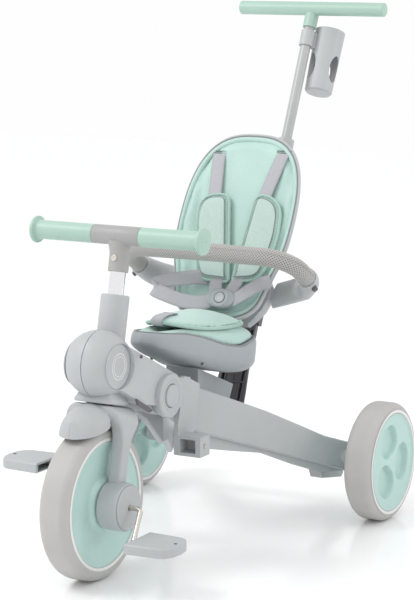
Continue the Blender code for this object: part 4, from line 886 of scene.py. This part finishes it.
def make_back_pad():
    """Foam pad filling the shell: crowned edge, dished middle, blown up a little and channelled."""
    rows = [(0.020, 0.0290), (0.690, 0.0290), (0.840, 0.0210), (0.935, 0.0064), (0.950, 0.0020), (0.942, -0.0010),
            (0.905, -0.0014), (0.850, 0.0012), (0.770, 0.0034), (0.700, 0.0044), (0.500, 0.0048), (0.020, 0.0048)]
    pad = lofted("backrest_cushion", back_rings(rows), "mint_fabric", None)
    cushion(pad, "seat_back", "backrest_pad", 0.0045, 0.0032, 2, bolster)
    outline = back_outline()
    rim = back_rings([(0.964, -0.0004)], outline)[0]
    piped("backrest_piping", rim, 0.0013, "piping", "seat_back", 10, closed=True, normal=BACK_DEEP)
    roll = back_rings([(0.936, 0.0026)], outline)[0]
    piped("backrest_edge_roll", roll, 0.0046, "mint_fabric", "seat_back", 14, closed=True, normal=BACK_DEEP)


PAD_CORNERS = {
    "left": ((0.0240, -0.0490), (0.0640, -0.0440), (0.0775, -0.0340), (0.0863, -0.0080), (0.0904, 0.0378),
             (0.0870, 0.0755), (0.0800, 0.0920), (0.0653, 0.1045), (0.0437, 0.1100), (0.0320, 0.1020)),
    "right": ((0.0205, -0.0510), (-0.0300, -0.0490), (-0.0430, -0.0400), (-0.0520, -0.0114), (-0.0670, 0.0490),
              (-0.0720, 0.0790), (-0.0670, 0.0950), (-0.0530, 0.1040), (-0.0285, 0.1070), (-0.0165, 0.0990)),
}


def rounded_loop(corners, radius=0.010, steps=6):
    """A closed outline whose corners become quadratic curves that start a radius away along each side."""
    corners = np.asarray(corners, float)
    turn = np.linspace(0, 1, steps)[:, None]
    loop = []
    for before, corner, after in zip(np.roll(corners, 1, axis=0), corners, np.roll(corners, -1, axis=0)):
        start, end = (corner + (other - corner) * min(radius / np.linalg.norm(other - corner), 0.45)
                      for other in (before, after))
        loop.append(start * (1 - turn) ** 2 + corner * 2 * turn * (1 - turn) + end * turn**2)
    return np.concatenate(loop)


def make_shoulder_pad(label):
    """Foam pad on the harness: a sewn binding round the edge, a stitched line and an airy mesh panel."""
    loop = rounded_loop(PAD_CORNERS[label])
    middle = loop.mean(axis=0)
    tangent = unit(np.roll(loop, -1, axis=0) - np.roll(loop, 1, axis=0))
    inward = np.stack((-tangent[:, 1], tangent[:, 0]), axis=1)
    inward = inward * np.sign(np.sum((middle - loop) * inward, axis=1))[:, None]

    def at(scale, depth, inset=0.0):
        flat = middle + (loop - middle) * scale + inward * inset
        return back_at(flat[:, 0], flat[:, 1], np.full(len(flat), depth))

    rows = [(0.02, -0.0004), (0.80, -0.0004), (0.965, -0.0020), (0.980, -0.0052), (0.965, -0.0085),
            (0.90, -0.0106), (0.70, -0.0114), (0.02, -0.0116)]
    pad = lofted(f"shoulder_cushion_{label}", [at(*row) for row in rows], "mint_binding", None)
    cushion(pad, "seat_back", f"shoulder_pad_{label}", 0.0030, 0.0010, 1)
    panel_rows = [(1, -0.0104, 0.0072), (1, -0.0122, 0.0078), (0.84, -0.0134, 0.0030), (0.60, -0.0138),
                  (0.02, -0.0139)]
    lofted(f"shoulder_mesh_{label}", [at(*row) for row in panel_rows], "mint_panel", "seat_back", smooth_angle=50)
    piped(f"shoulder_seam_{label}", at(1, -0.0118, 0.0072), 0.0009, "thread", "seat_back", 8, closed=True,
          normal=BACK_DEEP)
    piped(f"shoulder_binding_{label}", at(1, -0.0066, 0.0009), 0.0026, "mint_binding", "seat_back", 10, closed=True,
          normal=BACK_DEEP, squash=1.2)
    sewn = at(1, -0.0121, 0.0046)
    stitches(f"shoulder_stitches_{label}", np.concatenate((sewn, sewn[:1])), "seat_back", normal=-BACK_DEEP)


SHOULDER_STRAPS = {  # x, s and d of each knot, from the slot down to the pad
    "left": ((0.0622, 0.1925, 0.0110), (0.0622, 0.1895, 0.0015), (0.0600, 0.1800, -0.0016), (0.0560, 0.1550, -0.0030),
             (0.0500, 0.1180, -0.0052), (0.0470, 0.0960, -0.0060)),
    "right": ((-0.0610, 0.1870, 0.0110), (-0.0607, 0.1835, 0.0015), (-0.0590, 0.1740, -0.0016),
              (-0.0550, 0.1500, -0.0030), (-0.0490, 0.1150, -0.0052), (-0.0450, 0.0930, -0.0060)),
}
LOWER_STRAPS = {
    "left": ((0.0370, -0.0340, -0.0060), (0.0360, -0.0500, -0.0100), (0.0335, -0.0620, -0.0135),
             (0.0290, -0.0760, -0.0150)),
    "right": ((-0.0030, -0.0360, -0.0060), (-0.0018, -0.0530, -0.0100), (0.0010, -0.0640, -0.0135),
              (0.0060, -0.0770, -0.0150)),
}
WAIST_STRAPS = {
    "left": ((0.0400, -0.0840, -0.0165), (0.0520, -0.0790, -0.0215), (0.0680, -0.0690, -0.0250),
             (0.0820, -0.0590, -0.0250), (0.0915, -0.0510, -0.0200), (0.0960, -0.0455, -0.0110),
             (0.0935, -0.0425, -0.0030), (0.0880, -0.0400, 0.0040)),
    "right": ((-0.0240, -0.0440, -0.0030), (-0.0400, -0.0490, -0.0150), (-0.0600, -0.0560, -0.0240),
              (-0.0820, -0.0630, -0.0300), (-0.0970, -0.0700, -0.0330), (-0.1015, -0.0780, -0.0370),
              (-0.0960, -0.0850, -0.0400), (-0.0760, -0.0910, -0.0370), (-0.0480, -0.0960, -0.0290),
              (-0.0200, -0.0950, -0.0210), (-0.0020, -0.0880, -0.0165)),
}


def make_straps():
    """Webbing: shoulder straps from their slots, tails into the buckle and two loose waist loops."""
    for label, sign in SIDES:
        shoulder = np.array(SHOULDER_STRAPS[label])
        ribbon(f"shoulder_strap_{label}", back_at(*shoulder.T), X, 0.024, "seat_back")
        slot_x, slot_s = shoulder[1, 0], shoulder[1, 1] + 0.0016
        mouth = back_at(slot_x + 0.0135 * np.array((-1, 1, 1, -1)), slot_s + 0.0018 * np.array((-1, -1, 1, 1)),
                        np.full(4, -0.0004))
        piped(f"strap_slot_{label}", mouth, 0.0010, "thread", "seat_back", 8, closed=True, normal=BACK_DEEP)
        tail = np.array(LOWER_STRAPS[label])
        ribbon(f"lower_strap_{label}", back_at(*tail.T), X, 0.0235, "seat_back")
    ribbon("waist_strap_left", back_at(*np.array(WAIST_STRAPS["left"]).T), BACK_UP - 0.30 * X, 0.0240, "seat_back")
    ribbon("waist_strap_right", back_at(*np.array(WAIST_STRAPS["right"]).T), BACK_UP, 0.0250, "seat_back")


def make_buckle():
    """Oval buckle: rounded body with two shallow rings, and a press button dished in its middle."""
    centre = middle_of("buckle")
    turn = np.linspace(0, 2 * pi, 72, endpoint=False)

    def oval(wide, high, depth):
        ring = np.multiply.outer(wide * np.cos(turn), X) + np.multiply.outer(high * np.sin(turn), BACK_UP)
        return centre + ring + depth * BACK_DEEP

    profile = [(0.0100, 0.0100, 0.0060), (0.0255, 0.0158, 0.0060), (0.0276, 0.0172, 0.0034),
               (0.0280, 0.0175, 0.0000), (0.0268, 0.0168, -0.0040), (0.0220, 0.0162, -0.0052),
               (0.0185, 0.0160, -0.0054), (0.0172, 0.0158, -0.0064), (0.0162, 0.0152, -0.0069),
               (0.0130, 0.0126, -0.0070), (0.0104, 0.0102, -0.0068), (0.0093, 0.0093, -0.0058),
               (0.0093, 0.0093, 0.0050)]
    body = lofted("buckle_surface", [oval(*row) for row in profile], "base_plastic", "seat_back", closed=True,
                  smooth_angle=50)
    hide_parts("buckle")
    press = middle_of("buckle_button")
    rows = [(0.0004, 0.0016), (0.0086, 0.0016), (0.0088, -0.0008), (0.0080, -0.0017), (0.0062, -0.0018),
            (0.0052, -0.0012), (0.0004, -0.0010)]
    cap = turned("buckle_button_surface", softened(rows, 0.3, 2), press, BACK_DEEP, "grey_plastic", "buckle_button",
                 48)
    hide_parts("buckle_button")


# Saddle

SADDLE_OUTLINE = (
    (-0.1510, 0.0000, 0.0110, 0.0150), (-0.1430, 0.0200, 0.0120, 0.0180), (-0.1200, 0.0335, 0.0145, 0.0230),
    (-0.0800, 0.0425, 0.0185, 0.0285), (-0.0350, 0.0550, 0.0175, 0.0320), (0.0050, 0.0690, 0.0125, 0.0350),
    (0.0450, 0.0810, 0.0140, 0.0400), (0.0700, 0.0850, 0.0230, 0.0450), (0.1000, 0.0780, 0.0330, 0.0500),
    (0.1230, 0.0540, 0.0380, 0.0510), (0.1340, 0.0240, 0.0390, 0.0480), (0.1360, 0.0000, 0.0390, 0.0470))


def saddle_rings(rows):
    """Saddle outline scaled about its middle; a row is (scale, share of crown, lift, share of rim)."""
    side = smooth_path(SADDLE_OUTLINE, 6)
    ring = np.concatenate((side, side[-2:0:-1] * (1, -1, 1, 1)))
    g, x, rim, crown = ring.T
    return np.array([saddle_at(x * scale, g * scale, rim * of_rim + crown * of_crown + lift)
                     for scale, of_crown, lift, of_rim in rows])


def make_saddle():
    shell_rows = [(0.020, 0, 0.0080, 0), (0.300, 0, 0.0080, 0), (0.940, 0, 0.0000, 1), (0.962, 0, 0.0004, 1),
                  (0.978, 0, -0.0008, 1), (0.992, 0, -0.0034, 0.9), (0.999, 0, -0.0020, 0.35), (1.000, 0, -0.0040, 0),
                  (0.992, 0, -0.0078, 0), (0.9885, 0, -0.0084, 0), (0.9865, 0, -0.0090, 0), (0.9870, 0, -0.0096, 0),
                  (0.962, 0, -0.0140, 0), (0.915, 0, -0.0190, 0), (0.840, 0, -0.0238, 0), (0.740, 0, -0.0274, 0),
                  (0.640, 0, -0.0294, 0), (0.600, 0, -0.0290, 0), (0.020, 0, -0.0290, 0)]
    rings = saddle_rings(shell_rows)
    below = np.minimum((rings - SADDLE_FOOT) @ SADDLE_UP + 0.0040, 0)
    toward_nose = np.clip(0.1 - (rings - SADDLE_FOOT) @ SADDLE_REAR / 0.16, 0, 1)
    rings = rings - np.multiply.outer(below * 0.42 * toward_nose, SADDLE_UP)
    shell = lofted("saddle_shell_surface", rings, "base_plastic", "frame", smooth_angle=50)
    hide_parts("saddle_shell")
    pad_rows = [(0.020, 0, 0.0096, 0), (0.300, 0, 0.0096, 0), (0.925, 0, 0.0012, 1), (0.930, 0.25, 0.0, 0.75),
                (0.905, 0.55, 0.0, 0.45), (0.840, 0.78, 0.0, 0.22), (0.700, 0.93, 0.0, 0.07), (0.400, 0.99, 0, 0),
                (0.020, 1.0, -0.0006, 0)]
    pad = lofted("saddle_cushion", saddle_rings(pad_rows), "mint_fabric", None)
    cushion(pad, "frame", "saddle_pad", 0.0040, 0.0020, 2)
    rim = saddle_rings([(0.948, 0, 0.0008, 1)])[0]
    piped("saddle_piping", rim, 0.0017, "piping", "frame", 10, closed=True, normal=SADDLE_UP)


CROTCH_OUTLINE = (
    (-0.1200, 0.0100, 0.3680, 0.0020), (-0.1080, 0.0260, 0.3640, 0.0050), (-0.0800, 0.0380, 0.3570, 0.0110),
    (-0.0450, 0.0450, 0.3500, 0.0170), (-0.0050, 0.0510, 0.3450, 0.0200), (0.0250, 0.0590, 0.3440, 0.0160),
    (0.0420, 0.0640, 0.3460, 0.0090), (0.0480, 0.0600, 0.3480, 0.0050))
MIDDLE_SHIFT = -0.01705


def make_crotch_pad():
    """Leaf-shaped pad arched over the saddle; its edge is bound and a strap tab passes through its tip."""
    rows = smooth_path(CROTCH_OUTLINE, 4)
    turn = np.linspace(0, 2 * pi, 48, endpoint=False)
    y, half, low, arch = (column[:, None] for column in rows.T)
    thick = np.minimum(0.0070, 0.0026 + half * 0.10)
    across = np.sign(np.cos(turn)) * np.abs(np.cos(turn)) ** 0.75
    swell = np.sin(turn) * (0.62 + 0.38 * np.sign(np.sin(turn)))
    rise = arch * (1 - across[None] ** 2) + thick * swell[None]
    points = np.stack(np.broadcast_arrays(half * across[None], y + MIDDLE_SHIFT, low + 0.0016 + rise), axis=-1)
    pad = lofted("crotch_cushion", points, "mint_fabric", None)
    cushion(pad, "frame", "crotch_pad", 0.0026, 0.0016, 4)
    edge_half = np.stack((half[:, 0] + 0.0004, y[:, 0] + MIDDLE_SHIFT, low[:, 0] + 0.0026), axis=1)
    edge = np.concatenate((edge_half, edge_half[::-1] * (-1, 1, 1)))
    piped("crotch_binding", edge, 0.0031, "mint_binding", "frame", 10, closed=True, normal=Z)
    tab = [(0.0, -0.0940, 0.3755), (0.0, -0.0985, 0.3790), (0.0, -0.1080, 0.3800), (0.0, -0.1200, 0.3800),
           (0.0, -0.1310, 0.3790), (0.0, -0.1385, 0.3762), (0.0, -0.1412, 0.3715), (0.0, -0.1392, 0.3665),
           (0.0, -0.1290, 0.3635), (0.0, -0.1150, 0.3620)]
    ribbon("crotch_tab", np.array(tab), X, 0.021, "frame")
    mouth = np.array(((-0.0125, -0.0985, 0.3786), (0.0125, -0.0985, 0.3786), (0.0125, -0.0940, 0.3786),
                      (-0.0125, -0.0940, 0.3786)))
    piped("crotch_slot", mouth, 0.0010, "thread", "frame", 8, closed=True)


# Trim


def concentric(name, centre, axis, radius, wide, high, finish, body):
    """A thin raised ring round an axis."""
    rows = [(radius, 0), (radius, high * 0.7), (radius + wide * 0.3, high), (radius + wide * 0.7, high),
            (radius + wide, high * 0.7), (radius + wide, 0)]
    return turned(name, rows, centre, axis, finish, body, 96, closed=True)


def screw(name, centre, axis, body, radius=0.0036):
    """A countersunk socket screw: a rim, a shallow cone and a six-sided socket filled by a near-black piece of
    painted shade.
    """
    head = [(radius, -0.0015), (radius, 0.0004), (radius * 0.9, 0.0007), (radius * 0.5, 0.0003),
            (radius * 0.45, -0.001)]
    turned(name, head, centre, axis, "dark_plastic", body, 24, closed=True)
    turned(f"{name}_socket", [(0.0002, -0.0012), (radius * 0.5, -0.0012), (radius * 0.5, -0.0006),
                              (0.0002, -0.0006)], centre, axis, "hole_shade", body, 6)


def make_head_collar():
    """Flat plate under the head's ball, over the fork's crown: a rounded rectangle in three thicknesses."""
    turn = np.linspace(0, 2 * pi, 64, endpoint=False)
    rings = []
    for half_x, half_front, up in ((0.0300, 0.0270, 0.1540), (0.0352, 0.0322, 0.1536), (0.0360, 0.0330, 0.1544),
                                   (0.0360, 0.0330, 0.1590), (0.0340, 0.0310, 0.1620), (0.0300, 0.0270, 0.1720)):
        x = half_x * np.sign(np.cos(turn)) * np.abs(np.cos(turn)) ** 0.45
        front = 0.0080 + half_front * np.sign(np.sin(turn)) * np.abs(np.sin(turn)) ** 0.45
        rings.append(steer_at(x, front, np.full_like(x, up)))
    lofted("head_collar", rings, "grey_plastic", "frame", smooth_angle=50)


def make_under_edge(label, sign):
    """Dark lip under the cheek between the ball and the hub."""
    ball, hub = middle_of("head_cap_left") * (0, 1, 1), FOLD_HUB * (0, 1, 1)
    along = unit(hub - ball)
    down = np.cross(X, along)
    down = down * -np.sign(down[2])
    rings = []
    for t, low in ((0.052, 0.0345), (0.060, 0.0400), (0.098, 0.0400), (0.106, 0.0345)):
        corners = [(0.0500, 0.0330), (0.0538, 0.0330), (0.0538, low), (0.0500, low)]
        rings.append(np.array([ball + along * t + down * d + sign * x * X for x, d in corners]))
    lofted(f"under_edge_{label}", rings, "dark_plastic", "frame", smooth_angle=30)


def make_trim():
    make_head_collar()
    for label, sign in SIDES:
        side = sign * X
        make_under_edge(label, sign)
        low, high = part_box(f"pedal_{label}")
        # A near-black disc on the pedal's top: painted shade where the pedal's hole is.
        hole_shade = np.array((high[0] - 0.0110 if sign > 0 else low[0] + 0.0110, (low[1] + high[1]) / 2, high[2]))
        turned(f"pedal_hole_{label}", [(0.0002, 0.0003), (0.0028, 0.0003), (0.0030, -0.0010), (0.0002, -0.0010)],
               hole_shade, Z, "hole_shade", f"pedal_{label}", 24)
        screw(f"cheek_screw_{label}", np.array((sign * 0.0547, -0.2800, 0.3440)), side, "frame", 0.0030)
        for k, (x, y, z) in enumerate(((0.0480, -0.0760, 0.2965), (0.0640, 0.0180, 0.2745))):
            screw(f"saddle_screw_{label}_{k}", np.array((sign * x, y, z)), unit(side - Z), "frame", 0.0030)
        hub = FOLD_HUB + side * 0.0600
        rows = [(0.0188, -0.0040), (0.0188, 0.0046), (0.0200, 0.0054), (0.0226, 0.0054), (0.0232, 0.0046),
                (0.0262, 0.0046), (0.0268, 0.0054), (0.0318, 0.0052), (0.0338, 0.0042), (0.0346, 0.0020),
                (0.0346, -0.0040)]
        turned(f"fold_ring_{label}", softened(rows, 0.25, 1), hub, side, "grey_plastic", "frame", 96, closed=True)
        cap = np.array(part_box(f"head_cap_{label}")[1 if sign > 0 else 0])
        centre = middle_of(f"head_cap_{label}")
        centre[0] = cap[0] - sign * 0.0010
        for k, radius in enumerate((0.0150, 0.0195)):
            concentric(f"cap_ring_{label}_{k}", centre, side, radius, 0.0011, 0.0009, "white_plastic", "frame")


# CAD nodes that keep their shape

KEPT = {
    "grey_plastic": ["hub_cover_left", "hub_cover_right", "head_shell_left", "head_shell_right",
                     "head_cap_left", "head_cap_right", "fold_button_left",
                     "fold_button_right", "head_tube", "pedal_left", "pedal_right", "cup_holder",
                     "footrest_socket_left", "footrest_socket_right",
                     "arm_cover_left", "arm_cover_right", "arm_shell_left", "arm_shell_right", "brake_pedal", "seat_carrier", "safety_elbow_left", "safety_elbow_right"],
    "base_plastic": ["seat_base"],
    "dark_plastic": ["post_bracket", "safety_button_left", "safety_button_right"],
    "mint_plastic": ["push_grip"],
    "grey_paint": ["post_tube", "push_pole"],
    "steel": ["crank", "fold_axle", "latch_pin_left", "latch_pin_right", "stem_button"],
    "chrome": ["stem_tube"],
}
EDGES = {"cup_holder": 0.0004, "crank": 0.0, "head_shell_left": 0.0003, "head_shell_right": 0.0003,
         "arm_cover_left": 0.0005, "arm_cover_right": 0.0005, "stem_tube": 0.0, "push_pole": 0.0,
         "post_bracket": 0.0003, "stem_button": 0.0002}


def keep_nodes():
    for finish, nodes in KEPT.items():
        for node in nodes:
            refined(node, finish, EDGES.get(node, 0.0008))
    refined("steerer_tube", "grey_plastic", 0.0004)
    refined("rear_axle", "grey_plastic", 0.0006)


# Studio


def make_floor():
    """White acrylic sheet, glossy enough to mirror the wheels softly."""
    side = 6.0
    mesh = bpy.data.meshes.new("floor")
    mesh.from_pydata([(-side, -side, 0), (side, -side, 0), (side, side, 0), (-side, side, 0)], [], [(0, 1, 2, 3)])
    floor = bpy.data.objects.new("floor", mesh)
    bpy.context.scene.collection.objects.link(floor)
    recipe = Recipe("white_acrylic", 0.16, Specular_IOR_Level=0.35)
    recipe.shader.inputs["Base Color"].default_value = (0.985, 0.988, 0.993, 1)
    mesh.materials.append(recipe.material)


def area_light(name, place, target, size, power):
    lamp = bpy.data.lights.new(name, "AREA")
    lamp.size = size
    lamp.energy = power
    lamp_object = bpy.data.objects.new(name, lamp)
    lamp_object.location = place
    lamp_object.rotation_euler = (Vector(target) - Vector(place)).to_track_quat("-Z", "Y").to_euler()
    bpy.context.scene.collection.objects.link(lamp_object)


WORLD_STRENGTH = 0.99
CAMERA_PLACE = (1.72233, -3.07290, 0.97786)
CAMERA_AIM = (-0.47920, 0.86196, -0.16553)
CAMERA_LENS = 129.6


def make_studio():
    """Nearly white surroundings, a soft key from the front left above, a weak rim and the camera."""
    make_floor()
    world = bpy.data.worlds.new("studio")
    bpy.context.scene.world = world
    world.use_nodes = True
    background = world.node_tree.nodes["Background"]
    background.inputs["Color"].default_value = (1.0, 1.0, 1.0, 1)
    background.inputs["Strength"].default_value = WORLD_STRENGTH
    bpy.context.scene.view_settings.view_transform = "Standard"
    area_light("key", (-1.6, -1.6, 2.8), (0, 0, 0.3), 1.2, 40)
    area_light("rim", (2.6, 1.2, 1.6), (0, 0, 0.4), 1.0, 12)
    camera = bpy.data.cameras.new("camera")
    camera.lens = CAMERA_LENS
    camera.sensor_width = 36
    camera.sensor_fit = "AUTO"
    camera_object = bpy.data.objects.new("camera", camera)
    bpy.context.scene.collection.objects.link(camera_object)
    camera_object.location = CAMERA_PLACE
    camera_object.rotation_euler = Vector(CAMERA_AIM).to_track_quat("-Z", "Y").to_euler()
    bpy.context.scene.camera = camera_object


def main():
    make_studio()
    make_wheels()
    make_grips()
    make_handlebar()
    for label, sign in SIDES:
        make_fork(label, sign)
    make_fender()
    make_safety_sleeve()
    make_back_shell()
    make_back_pad()
    for label, sign in SIDES:
        make_shoulder_pad(label)
    make_straps()
    make_buckle()
    make_saddle()
    make_crotch_pad()
    make_trim()
    keep_nodes()


main()
bpy.context.view_layer.update()
